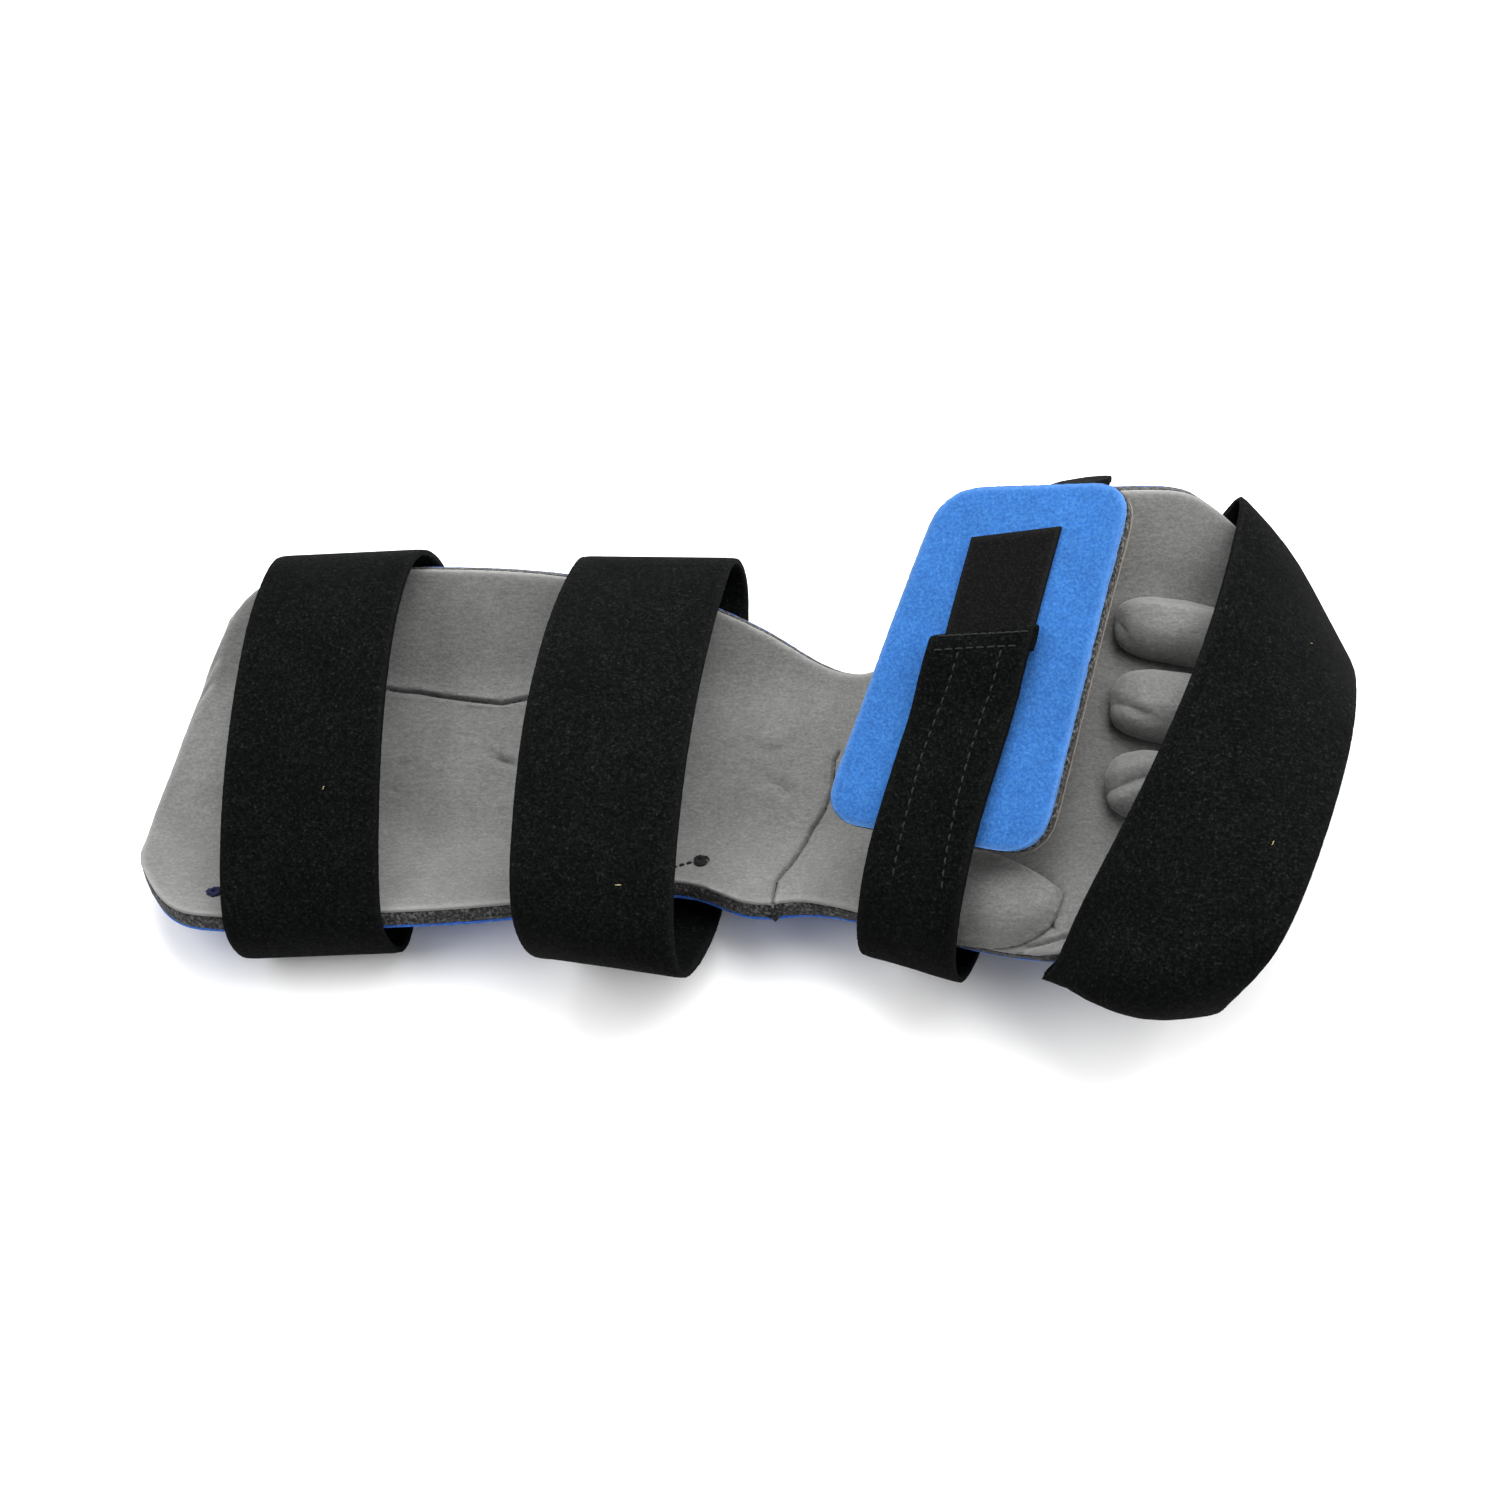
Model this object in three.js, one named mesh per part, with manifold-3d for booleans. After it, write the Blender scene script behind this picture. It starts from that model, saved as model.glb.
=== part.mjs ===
// A padded resting splint for a left hand, lying with its inside up, in millimetres.
// +X runs from the forearm end to the fingertips, +Y to the little finger's side, +Z up.
// The near side is the thumb's side at -Y, and the far side is at +Y.
import * as THREE from 'three';
import Module from 'manifold-3d';

const solids = await Module();
solids.setup();
const { Manifold, Mesh } = solids;

const rad = THREE.MathUtils.degToRad;

// Middle line of the shell, measured on its inner face from the forearm end
const FOREARM_LENGTH = 208;
const WRIST_RADIUS = 70;
const WRIST_ANGLE = rad(22);
const PALM_LENGTH = 60;
const KNUCKLE_RADIUS = 45;
const KNUCKLE_ANGLE = rad(53.5);
const FINGER_LENGTH = 46.5;

// Section of the trough
const FOREARM_HALF_WIDTH = 62;
const HAND_HALF_WIDTH = 70;
const FLOOR_HALF_WIDTH = 22;
const BEND_RADIUS = 14;
const WALL_SLOPE = rad(31);

// Layers of the shell, from the inside out
const LINER_THICKNESS = 1;
const FOAM_THICKNESS = 4.4;
const BACKING_THICKNESS = 1;
const GAP = 0.3;

// Rounding of the shell's two ends
const FOREARM_CORNER = 22;
const FINGER_CORNER = 14;
const END_BLEND = 70;

// Crease and notch at the wrist
const WRIST_CREASE_DEPTH = 1.6;
const WRIST_CREASE_WIDTH = 9;

// Straps
const STRAP_THICKNESS = 2.2;
const STRAP_SLACK = 0.6;
const FOREARM_STRAP_WIDTH = 50;
const PROXIMAL_STRAP_START = 41;
const PROXIMAL_STRAP_RISE = 22;
const DISTAL_STRAP_START = 140;
const DISTAL_STRAP_RISE = 39;
const STRAP_LAP = 60;
const FINGER_STRAP_WIDTH = 53.5;
const FINGER_STRAP_SLANT = rad(19);
const FINGER_STRAP_LEAN = rad(32);
const FINGER_STRAP_RISE = 34;
const FINGER_STRAP_SET = 4.5;
const FINGER_STRAP_LAP = 40;
const HAND_STRAP_WIDTH = 32;
const HAND_STRAP_SLANT = rad(16);
const HAND_STRAP_RISE = 24;
const HAND_STRAP_LEAN = rad(3);
const HAND_STRAP_DRIFT = 3.5;
const HAND_STRAP_DRIFT_LENGTH = 60;
const FAR_STRAP_HOLD = 30;
const HAND_STRAP_HOLD = 46;

// Pad over the back of the hand, and its hook tab
const PAD_LENGTH = 106;
const PAD_FAR_WIDTH = 60;
const PAD_NEAR_WIDTH = 71;
const PAD_SHIFT = 5;
const PAD_FAR_SKEW = 6;
const PAD_NEAR_SKEW = 17;
const PAD_CORNER = 11;
const PAD_FACE = 1.2;
const PAD_FOAM = 2.6;
const PAD_LINING = 0.8;
const PAD_FAR_SET = 5;
const PAD_PITCH = rad(14);
const TAB_THICKNESS = 1.4;
const TAB_WIDTH = 27;
const TAB_LENGTH = 62;
const TAB_SET = 15;
const TAB_SHIFT = 3.2;
const HEM_LENGTH = 7;

// Stuffed rolls on the hand part
const SEPARATOR_LENGTH = 40;
const SEPARATOR_WIDTH = 22.5;
const SEPARATOR_HEIGHT = 14.5;
const SEPARATOR_GAP = 2.5;
const ROLL_LENGTH = 54;
const ROLL_WIDTH = 28;
const ROLL_HEIGHT = 13;
const ROLL_TURN = rad(8);
const ROLL_SINK = 2;
// Place of the middle separator off the middle line, as a share of the hand's half width
const SEPARATORS_OFF_MIDDLE = 0.07;
// Distance of the thumb roll's middle from the near edge, as a share of its width
const ROLL_INSET = 0.52;

const NEAR = -1;
const FAR = 1;
const STEP = 0.05;

const WRIST_LENGTH = WRIST_RADIUS * WRIST_ANGLE;
const KNUCKLE_LENGTH = KNUCKLE_RADIUS * KNUCKLE_ANGLE;
const SHELL_THICKNESS = LINER_THICKNESS + FOAM_THICKNESS + BACKING_THICKNESS + 2 * GAP;
const LAYER = STRAP_THICKNESS + GAP;
const FLOOR_HEIGHT = 2 * LAYER + SHELL_THICKNESS;
const STRAP_DEPTH = SHELL_THICKNESS + GAP + STRAP_SLACK + STRAP_THICKNESS / 2;

// Each part of the middle line: where it starts, its length and the half width that it follows
const PARTS = {};
let reached = 0;
for (const [name, length, half] of [
  ['forearm', FOREARM_LENGTH, FOREARM_HALF_WIDTH],
  ['wrist', WRIST_LENGTH, FOREARM_HALF_WIDTH],
  ['palm', PALM_LENGTH, HAND_HALF_WIDTH],
  ['knuckles', KNUCKLE_LENGTH, HAND_HALF_WIDTH],
  ['fingers', FINGER_LENGTH, HAND_HALF_WIDTH],
]) {
  PARTS[name] = { start: reached, length, half };
  reached += length;
}
const SHELL_LENGTH = reached;

function along(part, share) {
  return PARTS[part].start + share * PARTS[part].length;
}

// Cut pattern of the shell. at: share of the part's length. near, far: each edge, as a share of
// the part's half width. floor: share of the flat floor. nearWall, farWall: shares of the slope.
const PATTERN = [
  { part: 'forearm', at: 0.00, near: 0.97, far: 0.80, floor: 1.0, nearWall: 1.0, farWall: 1.0 },
  { part: 'forearm', at: 0.16, near: 1.03, far: 0.97, floor: 1.0, nearWall: 1.0, farWall: 1.0 },
  { part: 'forearm', at: 0.41, near: 0.98, far: 0.99, floor: 1.0, nearWall: 1.0, farWall: 1.0 },
  { part: 'forearm', at: 0.63, near: 0.91, far: 0.96, floor: 1.0, nearWall: 1.0, farWall: 1.0 },
  { part: 'forearm', at: 0.84, near: 0.72, far: 0.82, floor: 1.0, nearWall: 1.0, farWall: 1.0 },
  { part: 'forearm', at: 0.90, near: 0.75, far: 0.74, floor: 1.0, nearWall: 1.0, farWall: 0.9 },
  { part: 'forearm', at: 0.98, near: 0.89, far: 0.61, floor: 1.0, nearWall: 1.0, farWall: 0.8 },
  { part: 'wrist', at: 0.35, near: 0.83, far: 0.47, floor: 1.0, nearWall: 0.9, farWall: 0.6 },
  { part: 'palm', at: 0.05, near: 0.76, far: 0.37, floor: 1.1, nearWall: 0.6, farWall: 0.5 },
  { part: 'palm', at: 0.35, near: 0.83, far: 0.52, floor: 1.3, nearWall: 0.3, farWall: 0.6 },
  { part: 'palm', at: 0.65, near: 0.92, far: 0.78, floor: 1.4, nearWall: 0.1, farWall: 0.9 },
  { part: 'palm', at: 1.00, near: 1.00, far: 0.98, floor: 1.5, nearWall: 0.0, farWall: 1.2 },
  { part: 'knuckles', at: 0.50, near: 1.02, far: 1.01, floor: 1.5, nearWall: 0.3, farWall: 1.2 },
  { part: 'knuckles', at: 1.00, near: 1.02, far: 1.02, floor: 1.5, nearWall: 0.5, farWall: 1.1 },
  { part: 'fingers', at: 0.50, near: 0.98, far: 0.86, floor: 1.5, nearWall: 0.6, farWall: 0.8 },
  { part: 'fingers', at: 1.00, near: 0.87, far: 0.60, floor: 1.5, nearWall: 0.6, farWall: 0.3 },
];

// Set-back of the two ends. across: place across, as a share of the half width, from the near side
// at -1 to the far side at 1. forearm, fingers: how far the end is cut back there, as a share of it.
const END_CUT = [
  { across: -1.0, forearm: 0.16, fingers: 0.68 },
  { across: -0.5, forearm: 0.03, fingers: 0.34 },
  { across: 0.0, forearm: 0.12, fingers: 0.06 },
  { across: 0.5, forearm: 0.23, fingers: 0.00 },
  { across: 1.0, forearm: 0.30, fingers: 0.10 },
];

// A smooth curve through a table: key names the column read, and column the value wanted
function tableValue(rows, key, column, x) {
  const last = rows.length - 1;
  let i = 0;
  while (i < last - 1 && rows[i + 1][key] < x) i += 1;
  const slope = (k) => {
    const a = rows[Math.max(k - 1, 0)];
    const b = rows[Math.min(k + 1, last)];
    return (b[column] - a[column]) / (b[key] - a[key]);
  };
  const [p, q] = [rows[i], rows[i + 1]];
  const span = q[key] - p[key];
  const t = THREE.MathUtils.clamp((x - p[key]) / span, 0, 1);
  const rise = q[column] - p[column];
  const [m, n] = [slope(i) * span, slope(i + 1) * span];
  return p[column] + t * (m + t * (3 * rise - 2 * m - n + t * (m + n - 2 * rise)));
}

const SECTIONS = PATTERN.map((row) => ({
  s: along(row.part, row.at),
  near: row.near * PARTS[row.part].half,
  far: row.far * PARTS[row.part].half,
  floor: row.floor * FLOOR_HALF_WIDTH,
  nearWall: row.nearWall * WALL_SLOPE,
  farWall: row.farWall * WALL_SLOPE,
}));

function section(column, s) {
  return tableValue(SECTIONS, 's', column, s);
}

// How far a rounded corner pulls an edge in, at a distance from the end
function cornerPull(radius, distance) {
  const d = THREE.MathUtils.clamp(distance, 0, radius);
  return radius - Math.sqrt(radius ** 2 - (radius - d) ** 2);
}

// Edge of the pattern at s, from the middle line
function edge(side, s) {
  const width = section(side === NEAR ? 'near' : 'far', s);
  const forearmPull = cornerPull(FOREARM_CORNER, s);
  const fingerPull = cornerPull(FINGER_CORNER, SHELL_LENGTH - s);
  return width - forearmPull - fingerPull;
}

// Point and direction of the middle line at s
function middleLine(s) {
  const up = FLOOR_HEIGHT;
  const steps = [
    [FOREARM_LENGTH, 0],
    [WRIST_LENGTH, WRIST_ANGLE],
    [PALM_LENGTH, 0],
    [KNUCKLE_LENGTH, -KNUCKLE_ANGLE],
    [Infinity, 0],
  ];
  let [x, z, heading, left] = [0, up, 0, s];
  for (const [length, turn] of steps) {
    const run = Math.min(left, length);
    const turned = turn === 0 ? 0 : (turn * run) / length;
    const half = heading + turned / 2;
    const chord = turned === 0 ? run : (2 * run * Math.sin(turned / 2)) / turned;
    x += chord * Math.cos(half);
    z += chord * Math.sin(half);
    heading += turned;
    left -= run;
    if (left === 0) break;
  }
  return { x, z, heading };
}

// Line of the wrist crease on the pattern: s at the distance g from the middle line
function wristCreaseAt(g) {
  const bow = g / FOREARM_HALF_WIDTH;
  return along('wrist', 0.62) - 0.1 * FOREARM_HALF_WIDTH * bow * (bow - 2.0);
}

function crease(s, g) {
  const off = (s - wristCreaseAt(g)) / WRIST_CREASE_WIDTH;
  const nearShare = THREE.MathUtils.smoothstep(-g, -0.2 * FOREARM_HALF_WIDTH, 0.7 * FOREARM_HALF_WIDTH);
  return WRIST_CREASE_DEPTH * nearShare * Math.exp(-off * off);
}

// Inner face of the shell at s along and g across the pattern
function innerFace(s, g) {
  const floor = section('floor', s);
  const slope = section(g < 0 ? 'nearWall' : 'farWall', s);
  const run = Math.abs(g);
  const arc = THREE.MathUtils.clamp(run - floor, 0, BEND_RADIUS * slope);
  const straight = Math.max(run - floor - arc, 0);
  const turned = arc / BEND_RADIUS;
  const out = Math.min(run, floor) + BEND_RADIUS * Math.sin(turned) + straight * Math.cos(slope);
  const up = BEND_RADIUS * (1 - Math.cos(turned)) + straight * Math.sin(slope) - crease(s, g);
  const line = middleLine(s);
  return new THREE.Vector3(
    line.x - up * Math.sin(line.heading),
    Math.sign(g) * out,
    line.z + up * Math.cos(line.heading),
  );
}

// Point at a depth below the inner face, or above it where the depth is negative
function shellPoint(s, g, depth) {
  const point = innerFace(s, g);
  const ds = innerFace(s + STEP, g).sub(innerFace(s - STEP, g));
  const dg = innerFace(s, g + STEP).sub(innerFace(s, g - STEP));
  return point.addScaledVector(ds.cross(dg).normalize(), -depth);
}

// Closed solid between two grids of points of the same size, grid[i][j] with i along and j across
function solidBetween(low, high) {
  const rows = low.length;
  const columns = low[0].length;
  const positions = [];
  for (const grid of [low, high]) {
    for (const row of grid) {
      for (const point of row) positions.push(point.x, point.y, point.z);
    }
  }
  const index = (layer, i, j) => (layer * rows + i) * columns + j;
  const triangles = [];
  const quad = (a, b, c, d) => triangles.push(a, b, c, a, c, d);
  for (let i = 0; i < rows - 1; i += 1) {
    for (let j = 0; j < columns - 1; j += 1) {
      quad(index(1, i, j), index(1, i + 1, j), index(1, i + 1, j + 1), index(1, i, j + 1));
      quad(index(0, i, j), index(0, i, j + 1), index(0, i + 1, j + 1), index(0, i + 1, j));
    }
    const last = columns - 1;
    quad(index(0, i, 0), index(0, i + 1, 0), index(1, i + 1, 0), index(1, i, 0));
    quad(index(0, i, last), index(1, i, last), index(1, i + 1, last), index(0, i + 1, last));
  }
  for (let j = 0; j < columns - 1; j += 1) {
    const last = rows - 1;
    quad(index(0, 0, j), index(1, 0, j), index(1, 0, j + 1), index(0, 0, j + 1));
    quad(index(0, last, j), index(0, last, j + 1), index(1, last, j + 1), index(1, last, j));
  }
  const geometry = new THREE.BufferGeometry();
  geometry.setAttribute('position', new THREE.Float32BufferAttribute(positions, 3));
  geometry.setIndex(triangles);
  geometry.computeVertexNormals();
  return geometry;
}

function spread(from, to, count) {
  return Array.from({ length: count + 1 }, (_, i) => from + ((to - from) * i) / count);
}

const group = new THREE.Group();

function addMesh(name, geometry, colour, roughness) {
  const material = new THREE.MeshStandardMaterial({ color: colour, roughness, metalness: 0 });
  const mesh = new THREE.Mesh(geometry, material);
  mesh.name = name;
  group.add(mesh);
}

const GREY = 0x96948f;
const FOAM_GREY = 0x3c3e40;
const BLUE = 0x3f83dc;
const BLACK = 0x17181a;

// Stations of the shell's mesh: close at the rounded ends and in the bends
const STATIONS = [
  ...spread(0, FOREARM_CORNER, 3),
  ...spread(FOREARM_CORNER, along('forearm', 0.8), 6).slice(1),
  ...spread(along('forearm', 0.8), along('wrist', 1), 8).slice(1),
  ...spread(along('palm', 0), along('palm', 1), 4).slice(1),
  ...spread(along('knuckles', 0), along('knuckles', 1), 6).slice(1),
  ...spread(along('fingers', 0), SHELL_LENGTH - FINGER_CORNER, 1).slice(1),
  ...spread(SHELL_LENGTH - FINGER_CORNER, SHELL_LENGTH, 4).slice(1),
];
const COLUMNS = spread(-1, 1, 14);

// How far the cut of an end moves a place on the pattern, at a distance from that end
function endCut(column, distance, g, half) {
  const fade = THREE.MathUtils.smoothstep(END_BLEND - distance, 0, END_BLEND);
  return fade * tableValue(END_CUT, 'across', column, g / half) * half;
}

// Place on the pattern of a mesh station and a share of the width there
function patternPlace(station, across) {
  const g = THREE.MathUtils.lerp(-edge(NEAR, station), edge(FAR, station), (across + 1) / 2);
  const forearm = endCut('forearm', station, g, FOREARM_HALF_WIDTH);
  const fingers = endCut('fingers', SHELL_LENGTH - station, g, HAND_HALF_WIDTH);
  return { s: station + forearm - fingers, g };
}

function shellGrid(depth) {
  return STATIONS.map((station) => COLUMNS.map((across) => {
    const { s, g } = patternPlace(station, across);
    return shellPoint(s, g, depth);
  }));
}

function addShell() {
  let depth = 0;
  for (const [name, thickness, colour] of [
    ['grey_liner', LINER_THICKNESS, GREY],
    ['foam_core', FOAM_THICKNESS, FOAM_GREY],
    ['blue_backing', BACKING_THICKNESS, BLUE],
  ]) {
    addMesh(name, solidBetween(shellGrid(depth + thickness), shellGrid(depth)), colour, 0.95);
    depth += thickness + GAP;
  }
}

// Cross profile of a stuffed roll: reach from its middle line and rise, as shares of its sizes
const STUFFED = [
  { reach: 0.30, rise: 0.97 },
  { reach: 0.58, rise: 0.86 },
  { reach: 0.82, rise: 0.66 },
  { reach: 0.97, rise: 0.40 },
  { reach: 0.98, rise: 0.14 },
  { reach: 0.88, rise: 0.00 },
];

const ROLL_SIDES = 18;
const SEPARATOR_BLUNTNESS = 0.62;
const MOUND_BLUNTNESS = 0.8;

// A stuffed roll on the inner face: its outline is a long oval on the pattern, with blunt ends
function stuffedRoll(middle, length, width, height, turn, bluntness) {
  const blunt = (share) => Math.sign(share) * Math.abs(share) ** bluntness;
  const place = (reach, lift, angle) => {
    const p = (reach * blunt(Math.cos(angle)) * length) / 2;
    const q = (reach * blunt(Math.sin(angle)) * width) / 2;
    const s = middle.s + p * Math.cos(turn) - q * Math.sin(turn);
    const g = middle.g + p * Math.sin(turn) + q * Math.cos(turn);
    return shellPoint(s, g, -lift);
  };
  const sides = ROLL_SIDES;
  const rings = [
    ...STUFFED.map(({ reach, rise }) => ({ reach, lift: rise * height })),
    { reach: STUFFED[STUFFED.length - 1].reach, lift: -ROLL_SINK },
  ];
  const positions = [];
  const push = (point) => positions.push(point.x, point.y, point.z);
  push(place(0, height, 0));
  for (const { reach, lift } of rings) {
    for (let k = 0; k < sides; k += 1) push(place(reach, lift, (2 * Math.PI * (k + 0.5)) / sides));
  }
  push(place(0, -ROLL_SINK, 0));
  const ring = (i, k) => 1 + i * sides + (k % sides);
  const last = rings.length - 1;
  const bottom = 1 + rings.length * sides;
  const triangles = [];
  for (let k = 0; k < sides; k += 1) {
    triangles.push(0, ring(0, k), ring(0, k + 1));
    for (let i = 0; i < last; i += 1) {
      triangles.push(ring(i, k), ring(i + 1, k), ring(i + 1, k + 1));
      triangles.push(ring(i, k), ring(i + 1, k + 1), ring(i, k + 1));
    }
    triangles.push(bottom, ring(last, k + 1), ring(last, k));
  }
  const geometry = new THREE.BufferGeometry();
  geometry.setAttribute('position', new THREE.Float32BufferAttribute(positions, 3));
  geometry.setIndex(triangles);
  return geometry;
}

function solidOf(geometry) {
  return new Manifold(new Mesh({
    numProp: 3,
    vertProperties: new Float32Array(geometry.attributes.position.array),
    triVerts: new Uint32Array(geometry.index.array),
  }));
}

// Cuts a roll's foot along the lining, with the gap between, and keeps what lies above it
function seated(roll) {
  const below = solidBetween(shellGrid(SHELL_THICKNESS), shellGrid(-GAP));
  const pieces = solidOf(roll).subtract(solidOf(below)).decompose();
  const above = pieces.reduce((a, b) => (a.volume() > b.volume() ? a : b));
  const { vertProperties, triVerts, numProp } = above.getMesh();
  const geometry = new THREE.BufferGeometry();
  const positions = new THREE.InterleavedBuffer(vertProperties, numProp);
  geometry.setAttribute('position', new THREE.InterleavedBufferAttribute(positions, 3, 0));
  geometry.setIndex(new THREE.BufferAttribute(triVerts, 1));
  geometry.computeVertexNormals();
  return geometry;
}

function addRolls() {
  const spacing = SEPARATOR_WIDTH + SEPARATOR_GAP;
  const [length, width, height] = [SEPARATOR_LENGTH, SEPARATOR_WIDTH, SEPARATOR_HEIGHT];
  for (const place of [1, 2, 3]) {
    const g = SEPARATORS_OFF_MIDDLE * HAND_HALF_WIDTH + (2 - place) * spacing;
    const middle = { s: along('knuckles', 0.5) + 0.5 * length, g };
    const roll = stuffedRoll(middle, length, width, height, 0, SEPARATOR_BLUNTNESS);
    addMesh(`finger_separator_${place}`, seated(roll), GREY, 0.95);
  }
  const s = along('palm', 0.75);
  const middle = { s, g: ROLL_INSET * ROLL_WIDTH - edge(NEAR, s) };
  const roll = stuffedRoll(middle, ROLL_LENGTH, ROLL_WIDTH, ROLL_HEIGHT, -ROLL_TURN, MOUND_BLUNTNESS);
  addMesh('thumb_roll', seated(roll), GREY, 0.95);
}

// Rounds a chain of points by cutting its corners, and keeps its ends
function rounded(points, rounds) {
  let chain = points;
  for (let n = 0; n < rounds; n += 1) {
    const next = [chain[0]];
    for (let i = 0; i < chain.length - 1; i += 1) {
      if (i > 0) next.push(chain[i].clone().lerp(chain[i + 1], 0.25));
      if (i < chain.length - 2) next.push(chain[i].clone().lerp(chain[i + 1], 0.75));
    }
    next.push(chain[chain.length - 1]);
    chain = next;
  }
  return chain;
}

// Points at given distances along a chain
function atDistances(chain, distances) {
  return distances.map((distance) => {
    let left = distance;
    for (let i = 0; i < chain.length - 1; i += 1) {
      const length = chain[i].distanceTo(chain[i + 1]);
      const here = left <= length || i === chain.length - 2;
      if (here) return chain[i].clone().lerp(chain[i + 1], left / length);
      left -= length;
    }
    return chain[0].clone();
  });
}

function chainLength(chain) {
  return chain.slice(1).reduce((sum, point, i) => sum + point.distanceTo(chain[i]), 0);
}

// Moves each point of a grid along the grid's own normal, by an amount that may change along it
function offsetGrid(grid, amount) {
  return grid.map((row, i) => row.map((point, j) => {
    const before = grid[Math.max(i - 1, 0)][j];
    const after = grid[Math.min(i + 1, grid.length - 1)][j];
    const left = row[Math.max(j - 1, 0)];
    const right = row[Math.min(j + 1, row.length - 1)];
    const normal = after.clone().sub(before).cross(right.clone().sub(left)).normalize();
    return point.clone().addScaledVector(normal, amount);
  }));
}

// Band of even thickness round a grid of its middle surface
function band(grid, thickness) {
  return solidBetween(offsetGrid(grid, -thickness / 2), offsetGrid(grid, thickness / 2));
}

// A line straight across the pattern at a slant, in the pattern's own terms
function slantedLine(s, slant) {
  return (g) => s + g * Math.tan(slant);
}

// Rim of the shell where a slanted line leaves it: the pattern's place and the point at mid thickness
function rimOn(line, side) {
  let g = side * edge(side, line(0));
  for (let n = 0; n < 12; n += 1) g = side * edge(side, line(g));
  return { g, point: shellPoint(line(g), g, SHELL_THICKNESS / 2) };
}

// Frame of a strap over the trough: middle between the rims, direction from near to far, and up
function strapFrame(line, lean) {
  const [near, far] = [rimOn(line, NEAR), rimOn(line, FAR)];
  const across = far.point.clone().sub(near.point);
  const half = across.length() / 2 + SHELL_THICKNESS / 2 + GAP + STRAP_SLACK + STRAP_THICKNESS / 2;
  across.normalize();
  const up = new THREE.Vector3(Math.sin(lean), 0, Math.cos(lean));
  up.addScaledVector(across, -up.dot(across)).normalize();
  const middle = near.point.clone().lerp(far.point, 0.5);
  return { middle, across, up, half, near, far };
}

function framePoint(frame, side, rise) {
  const point = frame.middle.clone().addScaledVector(frame.across, side * frame.half);
  return point.addScaledVector(frame.up, rise);
}

// Loops of the forearm straps, from far to near. proximalSide, distalSide: place across at each edge,
// as a share of the half span. proximalRise, distalRise: height over the rims as a share of the
// strap's rise, or below them as a share of the rims' height.
const PROXIMAL_LOOP = [
  { proximalSide: 0.70, proximalRise: -1.00, distalSide: 0.70, distalRise: -1.00 },
  { proximalSide: 1.00, proximalRise: -0.85, distalSide: 1.00, distalRise: -0.85 },
  { proximalSide: 1.00, proximalRise: 0.05, distalSide: 1.00, distalRise: 0.14 },
  { proximalSide: 0.84, proximalRise: 0.55, distalSide: 0.84, distalRise: 0.80 },
  { proximalSide: 0.48, proximalRise: 0.95, distalSide: 0.44, distalRise: 1.16 },
  { proximalSide: 0.02, proximalRise: 1.02, distalSide: 0.00, distalRise: 1.12 },
  { proximalSide: -0.38, proximalRise: 0.90, distalSide: -0.38, distalRise: 0.88 },
  { proximalSide: -0.78, proximalRise: 0.56, distalSide: -0.77, distalRise: 0.50 },
  { proximalSide: -1.01, proximalRise: 0.08, distalSide: -1.01, distalRise: 0.06 },
  { proximalSide: -1.00, proximalRise: -0.80, distalSide: -1.00, distalRise: -0.80 },
  { proximalSide: -0.72, proximalRise: -1.00, distalSide: -0.72, distalRise: -1.00 },
];
const DISTAL_LOOP = [
  { proximalSide: 0.74, proximalRise: -1.00, distalSide: 0.80, distalRise: -1.00 },
  { proximalSide: 1.03, proximalRise: -0.65, distalSide: 1.22, distalRise: -0.60 },
  { proximalSide: 1.03, proximalRise: 0.00, distalSide: 1.24, distalRise: 0.26 },
  { proximalSide: 0.82, proximalRise: 0.34, distalSide: 0.92, distalRise: 0.50 },
  { proximalSide: 0.42, proximalRise: 0.74, distalSide: 0.50, distalRise: 0.74 },
  { proximalSide: -0.10, proximalRise: 1.02, distalSide: 0.00, distalRise: 0.94 },
  { proximalSide: -0.60, proximalRise: 1.04, distalSide: -0.58, distalRise: 1.05 },
  { proximalSide: -1.08, proximalRise: 0.90, distalSide: -1.26, distalRise: 0.98 },
  { proximalSide: -1.22, proximalRise: 0.44, distalSide: -1.58, distalRise: 0.60 },
  { proximalSide: -1.14, proximalRise: -0.30, distalSide: -1.32, distalRise: 0.04 },
  { proximalSide: -0.82, proximalRise: -1.00, distalSide: -0.88, distalRise: -0.90 },
];

// A strap laid round the trough, with its near end lapped over its far end under the flat floor
function forearmLoop(rows, start, rise) {
  const outer = STRAP_THICKNESS / 2;
  const inner = outer + LAYER;
  const edges = [['proximal', start], ['distal', start + FOREARM_STRAP_WIDTH]];
  const grid = edges.map(([name, s]) => {
    const frame = strapFrame(slantedLine(s, 0), 0);
    const flat = (y, level) => new THREE.Vector3(s, y, level);
    const loop = rows.map((row) => {
      const [side, height] = [row[`${name}Side`], row[`${name}Rise`]];
      const level = side > 0 ? inner : outer;
      const point = framePoint(frame, side, 0);
      point.z = height > 0 ? point.z + height * rise : level + (point.z - level) * (1 + height);
      return point;
    });
    return rounded([
      flat(-STRAP_LAP / 2, inner),
      flat(FLOOR_HALF_WIDTH, inner),
      ...loop,
      flat(-FLOOR_HALF_WIDTH, outer),
      flat(STRAP_LAP / 2, outer),
    ], 2);
  });
  return band(grid[0].map((point, i) => [point, grid[1][i]]), STRAP_THICKNESS);
}

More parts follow.
